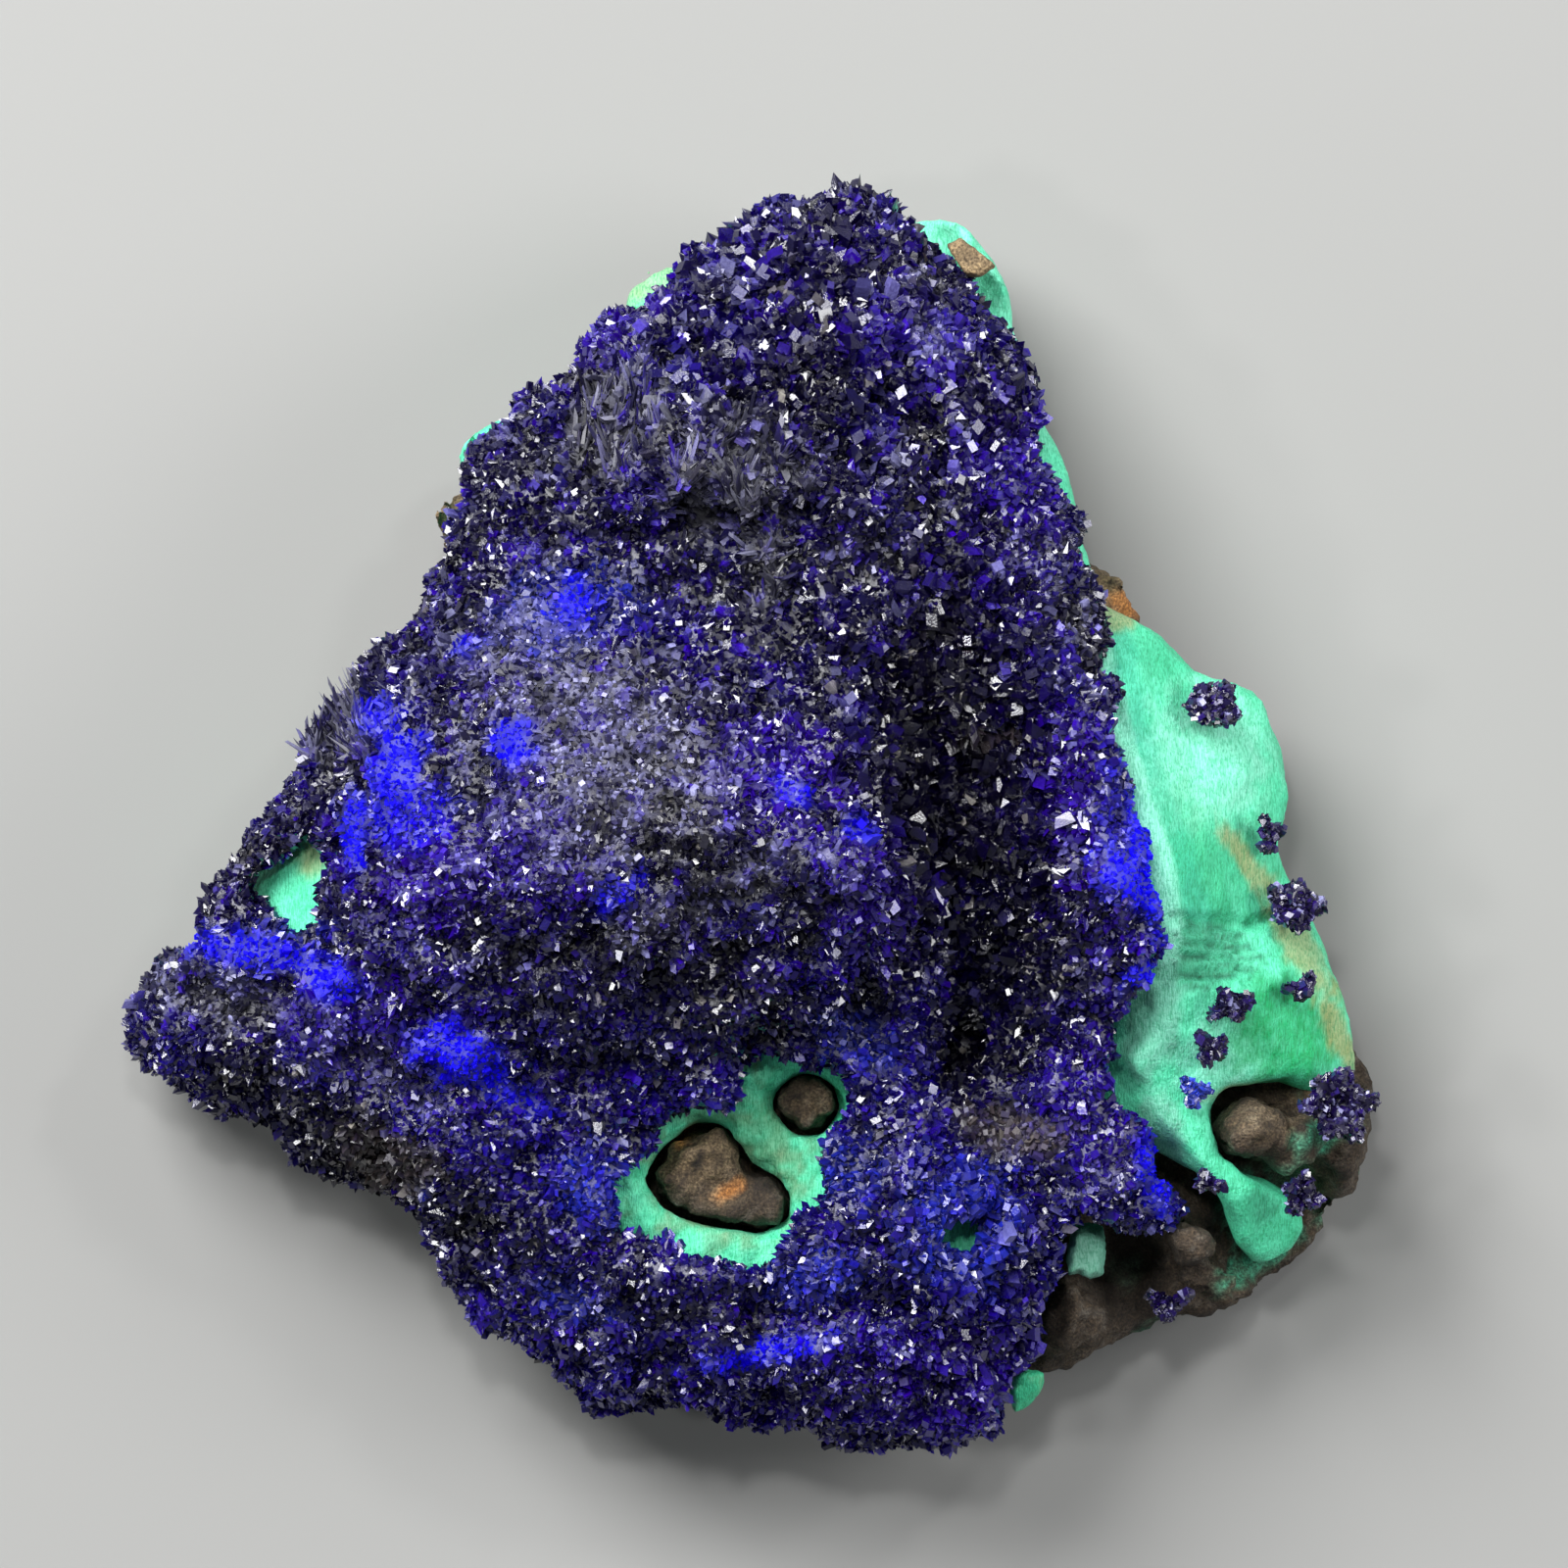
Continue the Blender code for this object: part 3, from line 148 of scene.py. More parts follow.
# %% A fine sheet copied from a solid
def fine_sheet(node, name, pitch, smoothing):
    """A copy of a solid made of even squares as wide as pitch, its flat cuts softened."""
    shape = solid_in_millimetres(node)
    mesh = bpy.data.meshes.new(name)
    shape.to_mesh(mesh)
    shape.free()
    draft = bpy.data.objects.new(name, mesh)
    scene.collection.objects.link(draft)
    squares = draft.modifiers.new("even squares", "REMESH")
    squares.mode = "VOXEL"
    squares.voxel_size = pitch
    soft = draft.modifiers.new("soften", "SMOOTH")
    soft.factor = 0.5
    soft.iterations = smoothing
    graph = bpy.context.evaluated_depsgraph_get()
    fine = bpy.data.meshes.new_from_object(draft.evaluated_get(graph))
    bpy.data.objects.remove(draft)
    fine.name = name
    return fine


# %% Finish a piece: metres, shading, what it rides on and what it stands for
def finished(name, mesh, material, stands_for, smooth=True):
    """The mesh as a piece of the specimen, in metres, riding on its one body."""
    put_points(mesh, corner_points(mesh) * METRES)
    mesh.polygons.foreach_set("use_smooth", np.full(len(mesh.polygons), smooth, dtype=bool))
    mesh.materials.clear()
    mesh.materials.append(material)
    piece = bpy.data.objects.new(name, mesh)
    scene.collection.objects.link(piece)
    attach(piece, "root")
    for node in stands_for:
        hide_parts(node)
    mesh.calc_loop_triangles()
    print(f"{name}: {len(mesh.loop_triangles)} triangles")
    return piece


def paint(mesh, name, colours):
    """Keep one colour for each corner of the mesh under a name that a material can read."""
    layer = mesh.color_attributes.new(name, "FLOAT_COLOR", "POINT")
    opaque = np.column_stack([colours, np.ones(len(colours))])
    layer.data.foreach_set("color", opaque.astype(np.float32).ravel())


def measure(mesh, name, values):
    """Keep one number for each corner of the mesh under a name that a material can read."""
    layer = mesh.attributes.new(name, "FLOAT", "POINT")
    layer.data.foreach_set("value", values.astype(np.float32))


# %% [markdown]
# Where a colour or a texture belongs is said with patches and bands. A patch is an oval on the
# display face and a band follows a line; both have ragged rims, as stains and growths on rock do.
# Places are in millimetres from the middle of the flat foot, x across and y along the specimen.

# %% Ovals and bands with ragged rims
class Places:
    """Points of the surface, asked how far they lie inside an oval or a band."""

    def __init__(self, points, seed, grain=0.7):
        self.points = points
        self.ragged = ripple(points, grain, seed)

    def oval(self, across, along, wide, tall, turn=0.0, soft=0.3, rough=0.3):
        """1 inside the oval, 0 outside, soft and ragged between."""
        angle = math.radians(turn)
        dx = self.points[:, 0] - across
        dy = self.points[:, 1] - along
        u = (dx * math.cos(angle) + dy * math.sin(angle)) / wide
        v = (dy * math.cos(angle) - dx * math.sin(angle)) / tall
        reach = np.hypot(u, v) + rough * self.ragged
        return eased((1.0 + soft - reach) / (2.0 * soft))

    def ovals(self, table, soft=0.3, rough=0.3):
        """The strongest of several ovals; each row ends with its own strength."""
        total = np.zeros(len(self.points))
        for across, along, wide, tall, turn, strength in table:
            total = np.maximum(total, strength * self.oval(across, along, wide, tall, turn, soft, rough))
        return total

    def off_line(self, line):
        """How far each point is from a line of several corners, seen from above."""
        line = np.array(line, dtype=float)
        flat = self.points[:, :2]
        best = np.full(len(flat), np.inf)
        for start, end in zip(line[:-1], line[1:]):
            along = end - start
            share = np.clip(((flat - start) @ along) / (along @ along), 0.0, 1.0)
            best = np.minimum(best, np.linalg.norm(flat - start - share[:, None] * along, axis=1))
        return best

    def band(self, line, half_width, soft=0.5, rough=0.3):
        """1 on the line, 0 beyond its half width."""
        reach = self.off_line(line) / half_width + rough * self.ragged
        return eased((1.0 + soft - reach) / (2.0 * soft))


def blend(colours, colour, share):
    """Move each row of colours towards one colour by its share."""
    return colours + (np.array(colour) - colours) * share[:, None]


# %% [markdown]
# The looks come from node materials. To keep them readable, a small class stands for one output of
# a node, so that 1 - mask or mask * 0.4 can be written as plain sums and adds the Math nodes by
# itself. Colours are mixed with Mix nodes, because a Math node would turn them grey.

# %% A value that sums can be written with
class Wire:
    """One output of a node in a material."""

    def __init__(self, recipe, socket):
        self.recipe = recipe
        self.socket = socket

    def sum(self, operation, first, second):
        return self.recipe.add("ShaderNodeMath", {"operation": operation}, {0: first, 1: second})

    def __add__(self, other):
        return self.sum("ADD", self, other)

    def __radd__(self, other):
        return self.sum("ADD", other, self)

    def __sub__(self, other):
        return self.sum("SUBTRACT", self, other)

    def __rsub__(self, other):
        return self.sum("SUBTRACT", other, self)

    def __mul__(self, other):
        return self.sum("MULTIPLY", self, other)

    def __rmul__(self, other):
        return self.sum("MULTIPLY", other, self)

    def between(self, low, high):
        """0 at or below low, 1 at or above high, straight between."""
        ends = {"Value": self, "From Min": low, "From Max": high}
        return self.recipe.add("ShaderNodeMapRange", {"clamp": True}, ends, "Result")


class Recipe:
    """A material under way: one Principled shader and the nodes that feed it."""

    def __init__(self, name, **constants):
        self.material = bpy.data.materials.new(name)
        self.material.use_nodes = True
        self.tree = self.material.node_tree
        self.surface = self.tree.nodes["Principled BSDF"]
        for socket, value in constants.items():
            self.surface.inputs[socket.replace("_", " ")].default_value = value
        self.place = self.add("ShaderNodeTexCoord", {}, {}, "Object")

    def add(self, kind, settings, sockets, output=0):
        """Any node: its settings first, then the values or wires of its sockets."""
        node = self.tree.nodes.new(kind)
        for name, value in settings.items():
            if name == "stops":
                ramp = node.color_ramp.elements
                while len(ramp) < len(value):
                    ramp.new(0.5)
                for stop, (position, colour) in zip(ramp, value):
                    stop.position = position
                    stop.color = (*colour, 1.0)
            else:
                setattr(node, name, value)
        for name, value in sockets.items():
            if isinstance(value, Wire):
                self.tree.links.new(value.socket, node.inputs[name])
            else:
                node.inputs[name].default_value = value
        return Wire(self, node.outputs[output])

    def feed(self, socket, wire):
        self.tree.links.new(wire.socket, self.surface.inputs[socket])

    def painted(self, name):
        """The colour kept at the corners of the mesh."""
        return self.add("ShaderNodeAttribute", {"attribute_name": name}, {}, "Color")

    def measured(self, name):
        """The number kept at the corners of the mesh."""
        return self.add("ShaderNodeAttribute", {"attribute_name": name}, {}, "Fac")

    def stretched(self, turn, stretch):
        """Places on the piece in bumps of one, turned in degrees about the upright axis."""
        settings = {"vector_type": "POINT"}
        sockets = {"Vector": self.place, "Rotation": (0.0, 0.0, math.radians(turn)), "Scale": stretch}
        return self.add("ShaderNodeMapping", settings, sockets, "Vector")

    def grain(self, size, detail=4.0, place=None, roughness=0.6):
        """Cloudy noise from 0 to 1; size is the width of its clouds in millimetres."""
        sockets = {
            "Vector": place or self.place, "Scale": MILLIMETRES / size, "Detail": detail,
            "Roughness": roughness,
        }
        return self.add("ShaderNodeTexNoise", {"normalize": True}, sockets, "Fac")

    def cells(self, size, output="Distance", place=None):
        """Packed cells; size is their width in millimetres."""
        sockets = {"Vector": place or self.place, "Scale": MILLIMETRES / size}
        return self.add("ShaderNodeTexVoronoi", {}, sockets, output)

    def mix(self, share, first, second, way="MIX"):
        """One colour into another by a share."""
        sockets = {"Factor": share, 6: first, 7: second}
        return self.add("ShaderNodeMix", {"data_type": "RGBA", "blend_type": way}, sockets, 2)

    def bump(self, height, depth, strength=1.0, under=None):
        """Fine relief; depth is how far it stands up in millimetres."""
        sockets = {"Height": height, "Distance": depth * METRES, "Strength": strength}
        if under is not None:
            sockets["Normal"] = under
        return self.add("ShaderNodeBump", {}, sockets, "Normal")


def rgb(red, green, blue):
    """A colour for a socket that wants four numbers."""
    return (red, green, blue, 1.0)


# %% [markdown]
# The azurite. Its crystals are glassy and deep blue, nearly black where they are thick, and pure
# blue where they are thin and packed. Every crystal has one colour of its own and one shine of its
# own, both kept on the mesh; the material only adds the fine wear and clouding inside a crystal.

# %% Azurite materials
def azurite_recipe(name, bump_depth):
    recipe = Recipe(name, IOR=1.73)
    own_colour = recipe.painted("crystal_colour")
    clouding = recipe.grain(0.09, 3.0)
    darker = recipe.mix(1.0, own_colour, rgb(0.55, 0.5, 0.62), "MULTIPLY")
    recipe.feed("Base Color", recipe.mix(clouding.between(0.35, 0.65), darker, own_colour))
    dullness = recipe.measured("dullness")
    recipe.feed("Roughness", dullness + recipe.grain(0.2, 2.0) * 0.12)
    recipe.feed("Normal", recipe.bump(recipe.grain(0.07, 2.0), bump_depth, 0.6))
    return recipe.material


def pure_blue_recipe():
    """Packed fine grains of pure blue that hardly mirror the light, with a painted glow from emission."""
    recipe = Recipe("azurite pure blue", IOR=1.3, Roughness=0.5, Emission_Strength=0.30)
    own_colour = recipe.painted("crystal_colour")
    clouding = recipe.grain(0.14, 3.0)
    deeper = recipe.mix(1.0, own_colour, rgb(0.9, 0.4, 0.62), "MULTIPLY")
    clouded = recipe.mix(clouding.between(0.3, 0.6), deeper, own_colour)
    recipe.feed("Base Color", clouded)
    # Painted glow: the colour is also fed to emission, though the grains are no lamp.
    recipe.feed("Emission Color", clouded)
    recipe.feed("Normal", recipe.bump(recipe.grain(0.09, 2.0), 0.02, 0.6))
    return recipe.material


druse_finish = azurite_recipe("azurite druse", 0.012)
pure_blue_finish = pure_blue_recipe()
crust_finish = azurite_recipe("azurite crust", 0.05)
cluster_finish = azurite_recipe("azurite clusters", 0.012)
print("azurite finishes made")

# %% [markdown]
# Where the azurite changes colour. The patches below name what is seen on the display face: pure
# blue eyes and strips, violet ground, a grey velvety field on the dome of duller crystals whose pale
# grey is painted sheen, bristly grey growth on the shoulder, a nearly black gully and other dark
# recesses, dark partly by their own colour and partly by painted shade, and paler blue halos where
# the crust thins out over the green.

# %% Colour zones of the crust, in millimetres: across, along, wide, tall, turn, strength
ELECTRIC = [
    (-8.07, 2.57, 0.8, 0.85, 20, 1.0),
    (-6.1, 7.4, 0.95, 0.85, 30, 0.75),
    (-9.6, 5.9, 0.7, 0.35, 20, 0.6),
    (-12.0, 1.5, 0.95, 1.5, 0, 0.95),
    (-12.6, 3.4, 0.8, 0.8, 0, 0.7),
    (-13.5, -0.5, 0.5, 1.4, 0, 0.9),
    (-11.6, 0.1, 1.5, 1.2, 0, 0.7),
    (-16.9, -4.6, 2.5, 0.65, -8, 0.8),
    (-14.3, -5.5, 1.1, 0.65, -10, 0.95),
    (-9.9, -8.0, 1.6, 1.0, -20, 0.95),
    (-8.6, -9.2, 1.9, 0.5, -25, 0.6),
    (13.5, -0.9, 0.75, 3.0, 8, 0.9),
    (13.0, -2.1, 1.4, 0.9, -35, 1.0),
    (13.3, -5.2, 0.8, 0.4, 35, 0.8),
    (13.7, -12.0, 0.65, 1.25, 20, 0.95),
    (1.4, 0.9, 0.8, 0.55, -20, 0.7),
    (3.4, -0.4, 0.5, 0.5, 0, 0.7),
    (-4.6, -2.6, 1.2, 0.5, 30, 0.5),
    (0.3, -18.2, 2.3, 0.45, 12, 0.8),
]
HALOS = [
    (-6.3, 7.0, 2.2, 1.5, 10, 0.55),
    (3.7, -7.5, 1.5, 0.9, -15, 0.75),
    (3.3, -11.9, 1.0, 1.2, 10, 0.8),
    (7.1, -13.8, 1.9, 2.0, 0, 0.8),
    (-5.6, -12.3, 1.1, 1.3, 0, 0.7),
    (2.2, -15.6, 1.5, 0.8, 20, 0.75),
    (-5.9, -16.4, 1.5, 0.7, -20, 0.6),
    (-11.3, -12.7, 0.6, 0.6, 0, 0.8),
    (-15.9, -3.9, 1.7, 0.45, 5, 0.6),
    (13.4, -3.3, 0.6, 0.5, 0, 0.8),
    (12.6, -0.4, 0.8, 2.6, 8, 0.5),
]
VIOLET = [
    (-11.0, -1.6, 2.6, 2.0, 0, 0.9),
    (-7.6, -1.0, 1.6, 1.6, 0, 0.7),
    (11.5, 0.2, 1.4, 3.6, 6, 0.8),
    (1.0, 1.4, 2.6, 1.7, -20, 0.8),
    (3.8, -2.3, 1.5, 2.4, 10, 0.75),
    (-5.3, 16.1, 1.2, 0.9, 30, 0.9),
    (-3.5, 17.6, 0.9, 0.7, 30, 0.7),
    (5.4, 16.2, 1.8, 1.6, 0, 0.5),
    (8.9, 10.6, 1.5, 3.0, 10, 0.45),
    (11.9, -9.6, 2.4, 2.4, 0, 0.55),
    (6.6, -19.2, 3.2, 2.0, 10, 0.55),
    (-12.6, -7.0, 3.0, 1.6, -10, 0.5),
]
# Velvety fields: finer and duller crystals, and more pale lilac ones as painted sheen.
VELVET_AND_SHEEN = [
    (-5.3, 3.2, 3.4, 2.6, -25, 1.0),
    (-7.9, 6.0, 2.2, 1.5, 20, 0.75),
    (-3.0, 1.6, 2.2, 2.6, 10, 0.8),
    (-5.7, 0.1, 2.6, 1.8, 0, 0.8),
    (-9.7, 0.8, 0.9, 2.6, 0, 0.5),
    (-1.5, -2.6, 4.4, 0.8, 25, 0.7),
    (-18.6, -6.0, 2.6, 1.0, -15, 0.7),
    (-12.9, -8.3, 2.6, 1.2, -15, 0.5),
    (-1.9, 10.9, 1.0, 0.5, 0, 0.9),
    (4.1, 9.3, 1.6, 0.9, 25, 0.5),
    (9.4, 9.0, 0.8, 1.1, 0, 0.45),
    (5.8, 17.3, 1.0, 1.6, 0, 0.5),
    (-6.6, 12.6, 1.6, 0.8, 40, 0.35),
    (2.6, -2.4, 1.8, 0.6, 25, 0.5),
    (11.0, 6.4, 1.0, 1.6, 0, 0.35),
]
BRISTLES = [
    (-4.6, 13.6, 2.0, 1.6, 60, 0.9),
    (-0.9, 11.6, 2.4, 2.0, 0, 0.8),
    (0.4, 9.0, 0.8, 2.2, 0, 0.6),
    (-14.3, 3.2, 1.5, 1.8, -40, 0.8),
]
# Black zones: the deep colour of the crystals, and painted shade in the gully, under ledges and in recesses.
BLACK_AND_SHADE = [
    (6.6, 1.6, 2.6, 5.6, 4, 1.0),
    (8.8, -4.0, 2.0, 5.0, 10, 0.85),
    (7.2, -7.8, 1.2, 2.2, 0, 1.0),
    (2.0, 14.6, 2.6, 1.2, 0, 0.7),
    (1.5, 17.0, 2.6, 1.6, 0, 0.35),
    (4.5, 5.4, 4.0, 2.2, -20, 0.6),
    (-3.6, -7.0, 7.5, 1.6, 8, 0.55),
    (-14.0, -11.0, 6.5, 1.6, -28, 0.95),
    (5.3, -16.6, 1.2, 0.8, 0, 0.7),
    (-2.6, -16.2, 3.2, 1.2, 0, 0.5),
    (0.9, -2.2, 1.3, 0.5, 40, 0.6),
    (-2.9, 0.4, 0.7, 0.6, 0, 0.9),
    (-1.7, -1.4, 0.7, 1.0, 30, 0.9),
]
EARTHY = [
    (8.9, -10.7, 1.9, 0.8, -12, 0.9),
    (-12.4, -11.6, 1.8, 1.0, -30, 0.6),
    (8.0, 2.8, 1.2, 0.3, 0, 0.4),
]
COARSE = [
    (1.6, 17.2, 4.6, 3.6, 0, 0.8),
    (7.0, 2.2, 3.4, 6.5, 5, 1.0),
    (6.0, 13.4, 3.4, 3.2, 0, 0.5),
    (8.0, -16.0, 3.0, 4.0, 0, 0.5),
]


# %% Colour and shine of azurite at any place
# Ink black serves as painted shade as well as the darkest colour of the crystals.
INK_AND_SHADE = (0.0016, 0.0010, 0.0070)
NAVY = (0.0035, 0.0012, 0.034)
DEEP_BLUE = (0.010, 0.0010, 0.30)
VIOLET_BLUE = (0.045, 0.0030, 0.52)
PURE_BLUE = (0.004, 0.0005, 0.95)
SKY_BLUE = (0.022, 0.05, 0.86)
# Pale lilac is painted sheen on the crystals, not a colour of the azurite.
SHEEN_LILAC = (0.37, 0.38, 0.68)
GREY = (0.25, 0.26, 0.30)
GLINT_CREAM = (0.62, 0.60, 0.50)
EARTH = (0.085, 0.065, 0.045)
TOWARDS_LIGHT = np.array((-0.42, 0.50, 0.76))


def azurite_lumps(points):
    """Lumps and hollows between the large forms and the single crystals, in millimetres."""
    return 0.80 * ripple(points, 1.9, 1.0, 2) + 0.34 * ripple(points, 0.75, 2.0, 2)


def azurite_at(points, normals, chance):
    """Colour and dullness of the azurite, with painted sheen, glints and shade; chance holds four random numbers from 0
    to 1 a point.
    """
    places = Places(points, 3.0)
    clouds = ripple(points, 2.6, 11.0)
    flecks = ripple(points, 0.6, 12.0)
    lumps = azurite_lumps(points)
    lit = np.clip(normals @ TOWARDS_LIGHT, 0.0, 1.0)
    south = eased((-points[:, 1] - 3.0) / 7.0)
    ground = np.clip(0.14 + 0.46 * south + 0.60 * clouds + 0.55 * flecks, 0.0, 1.0)
    colours = np.tile(np.array(NAVY), (len(points), 1))
    colours = blend(colours, DEEP_BLUE, ground * (0.2 + 0.8 * chance[:, 0]))
    violet = places.ovals(VIOLET, 0.45, 0.5)
    glow = np.clip(violet + 0.9 * eased(flecks * 2.4 - 0.25), 0.0, 1.0) * (0.15 + 0.85 * chance[:, 1])
    colours = blend(colours, VIOLET_BLUE, glow * 0.8)
    halo = places.ovals(HALOS, 0.5, 0.6)
    colours = blend(colours, SKY_BLUE, halo * (0.2 + 0.8 * chance[:, 1]) * 0.75)
    velvet_and_sheen = places.ovals(VELVET_AND_SHEEN, 0.5, 0.7)
    black_and_shade = places.ovals(BLACK_AND_SHADE, 0.4, 0.5)
    # Painted sheen: pale lilac crystals, more where the surface faces the light and in the velvety fields.
    sheen_field = 1.5 * ripple(points, 1.5, 13.0) + 0.8 * flecks + 1.3 * velvet_and_sheen + 0.9 * (lit - 0.75)
    sheen_field = eased(sheen_field - 0.12 - 0.25 * south) * (1.0 - 0.8 * black_and_shade)
    sheen_share = (chance[:, 2] < 0.03 + 0.60 * sheen_field) * (0.15 + 0.85 * chance[:, 3] ** 1.5)
    colours = blend(colours, SHEEN_LILAC, sheen_share * (0.45 + 0.45 * velvet_and_sheen))
    bristle = places.ovals(BRISTLES, 0.4, 0.5)
    colours = blend(colours, GREY, bristle * (chance[:, 2] < 0.5) * (0.2 + 0.7 * chance[:, 3]))
    # Painted shade: crevices between lumps, and the black zones, made near-black.
    crevice_shade = eased((-0.06 - lumps) / 0.22)
    colours = blend(colours, INK_AND_SHADE, np.maximum(0.93 * black_and_shade, 0.78 * crevice_shade * (1.0 - 0.4 * south)))
    # Painted glints: a few crystals made pale cream, brighter in the black zones.
    painted_glint = (chance[:, 2] > 0.965) & (chance[:, 3] > 0.3)
    colours = blend(colours, GLINT_CREAM, painted_glint * (0.2 + 0.5 * black_and_shade) * chance[:, 1])
    electric = places.ovals(ELECTRIC, 0.4, 0.6)
    colours = blend(colours, PURE_BLUE, electric * (0.75 + 0.25 * chance[:, 1]))
    earthy = places.ovals(EARTHY, 0.35, 0.5)
    colours = blend(colours, EARTH, earthy * (0.3 + 0.7 * chance[:, 3]))
    dullness = 0.07 + 0.15 * chance[:, 0] + 0.30 * velvet_and_sheen + 0.30 * electric + 0.15 * halo
    dullness = np.clip(dullness + 0.35 * bristle + 0.4 * earthy - 0.06 * black_and_shade, 0.05, 0.75)
    return colours, dullness


# %% [markdown]
# The crust itself: a fine copy of the solid, roughened in clumps. It is what shows between the
# crystals and on the sides that face down, so it carries the same colours as the crystals on it,
# at half their brightness as painted shade.

# %% Make the crust
CRUST_PITCH = 0.31
crust = fine_sheet("azurite_crust", "crust", CRUST_PITCH, 5)
crust_points = corner_points(crust)
crust_normals = corner_normals(crust)
hollows = Places(crust_points, 5.0)
dug = 0.9 * hollows.oval(7.1, -8.0, 0.7, 0.9) + 0.8 * hollows.oval(5.2, -16.7, 0.6, 0.45)
dug += 0.35 * hollows.oval(-1.7, -1.4, 0.5, 0.8, 30) + 0.35 * hollows.oval(-2.9, 0.4, 0.5, 0.45)
lift = azurite_lumps(crust_points) - 0.06 - dug * (crust_normals[:, 2] > 0.2)
crust_points += crust_normals * lift[:, None]
put_points(crust, crust_points)
crust_random = np.random.default_rng(SEED)
crust_chance = crust_random.random((len(crust_points), 4))
crust_colours, crust_dullness = azurite_at(crust_points, corner_normals(crust), crust_chance)
# Painted shade: the crust's colours at half brightness, as in the gaps between crystals.
paint(crust, "crystal_colour", crust_colours * 0.5)
measure(crust, "dullness", crust_dullness + 0.2)
print("crust corners:", len(crust_points))
finished("crust", crust, crust_finish, ["azurite_crust"])

# %% [markdown]
# The crystals. On the real piece they are a tenth to half a millimetre across and stand every way,
# so that some facets mirror the light and most stay dark: that is the glitter. Each is a block
# with a slanted top or a wedge with a sharp ridge, planted by area so that none bunch up. Crystals
# that would grow into the green or brown behind the crust are left out.

# %% Shapes of one crystal
FOOT = -0.3
SQUARE = [(-0.5, -0.5), (0.5, -0.5), (0.5, 0.5), (-0.5, 0.5)]
BLOCK = {
    "corners": np.array([(*spot, FOOT) for spot in SQUARE] + [(*spot, 1.0) for spot in SQUARE]),
    "faces": [(0, 1, 5, 4), (1, 2, 6, 5), (2, 3, 7, 6), (3, 0, 4, 7), (4, 5, 6, 7)],
}
WEDGE = {
    "corners": np.array([(*spot, FOOT) for spot in SQUARE] + [(-0.5, 0.0, 1.0), (0.5, 0.0, 1.0)]),
    "faces": [(0, 1, 5, 4), (2, 3, 4, 5), (1, 2, 5), (3, 0, 4)],
}
SHARD = {
    "corners": np.array([(-0.6, -0.5, FOOT), (0.6, -0.5, FOOT), (0.0, 0.6, FOOT), (0.0, 0.0, 1.0)]),
    "faces": [(0, 1, 3), (1, 2, 3), (2, 0, 3)],
}
SHAPES = (BLOCK, WEDGE, SHARD)


# %% Plant many crystals of one shape
def plant(shape, spots, axes, sizes, chance):
    """Corners of crystals at spots, pointing along axes; sizes are width, depth and height."""
    count = len(spots)
    corners = np.tile(shape["corners"][None], (count, 1, 1))
    top = corners[:, :, 2] > 0.5
    taper = 0.55 + 0.4 * chance[:, 0]
    aside = 0.7 * (chance[:, 1:3] - 0.5)
    tips = corners[:, :, :2] * taper[:, None, None] + aside[:, None, :]
    corners[:, :, :2] = np.where(top[:, :, None], tips, corners[:, :, :2])
    tilt = 1.6 * (chance[:, 2:4] - 0.5)
    rise = (corners[:, :, :2] * tilt[:, None, :]).sum(axis=2)
    corners[:, :, 2] = np.where(top, corners[:, :, 2] + rise, corners[:, :, 2])
    spin = chance[:, 3] * math.tau * 3.0
    helper = np.where(np.abs(axes[:, 2:3]) > 0.8, np.array([[1.0, 0.0, 0.0]]), np.array([[0.0, 0.0, 1.0]]))
    first = unit(np.cross(axes, helper))
    second = np.cross(axes, first)
    across = first * np.cos(spin)[:, None] + second * np.sin(spin)[:, None]
    along = np.cross(axes, across)
    scaled = corners * sizes[:, None, :]
    frames = np.stack([across, along, axes], axis=1)
    return spots[:, None, :] + np.einsum("nck,nkd->ncd", scaled, frames), top


def joined_mesh(name, groups):
    """One mesh of several groups: each is corners (count, corners each, 3) and the faces of one."""
    points = []
    loops = []
    totals = []
    offset = 0
    for corners, faces in groups:
        count, each, _ = corners.shape
        points.append(corners.reshape(-1, 3))
        starts = offset + np.arange(count) * each
        for face in faces:
            loops.append((starts[:, None] + np.array(face)[None]).ravel())
            totals.append(np.full(count, len(face)))
        offset += count * each
    points = np.concatenate(points)
    loops = np.concatenate(loops)
    totals = np.concatenate(totals)
    mesh = bpy.data.meshes.new(name)
    mesh.vertices.add(len(points))
    mesh.vertices.foreach_set("co", points.astype(np.float32).ravel())
    mesh.loops.add(len(loops))
    mesh.loops.foreach_set("vertex_index", loops.astype(np.int32))
    mesh.polygons.add(len(totals))
    mesh.polygons.foreach_set("loop_start", np.concatenate([[0], np.cumsum(totals)[:-1]]).astype(np.int32))
    mesh.update(calc_edges=True)
    return mesh


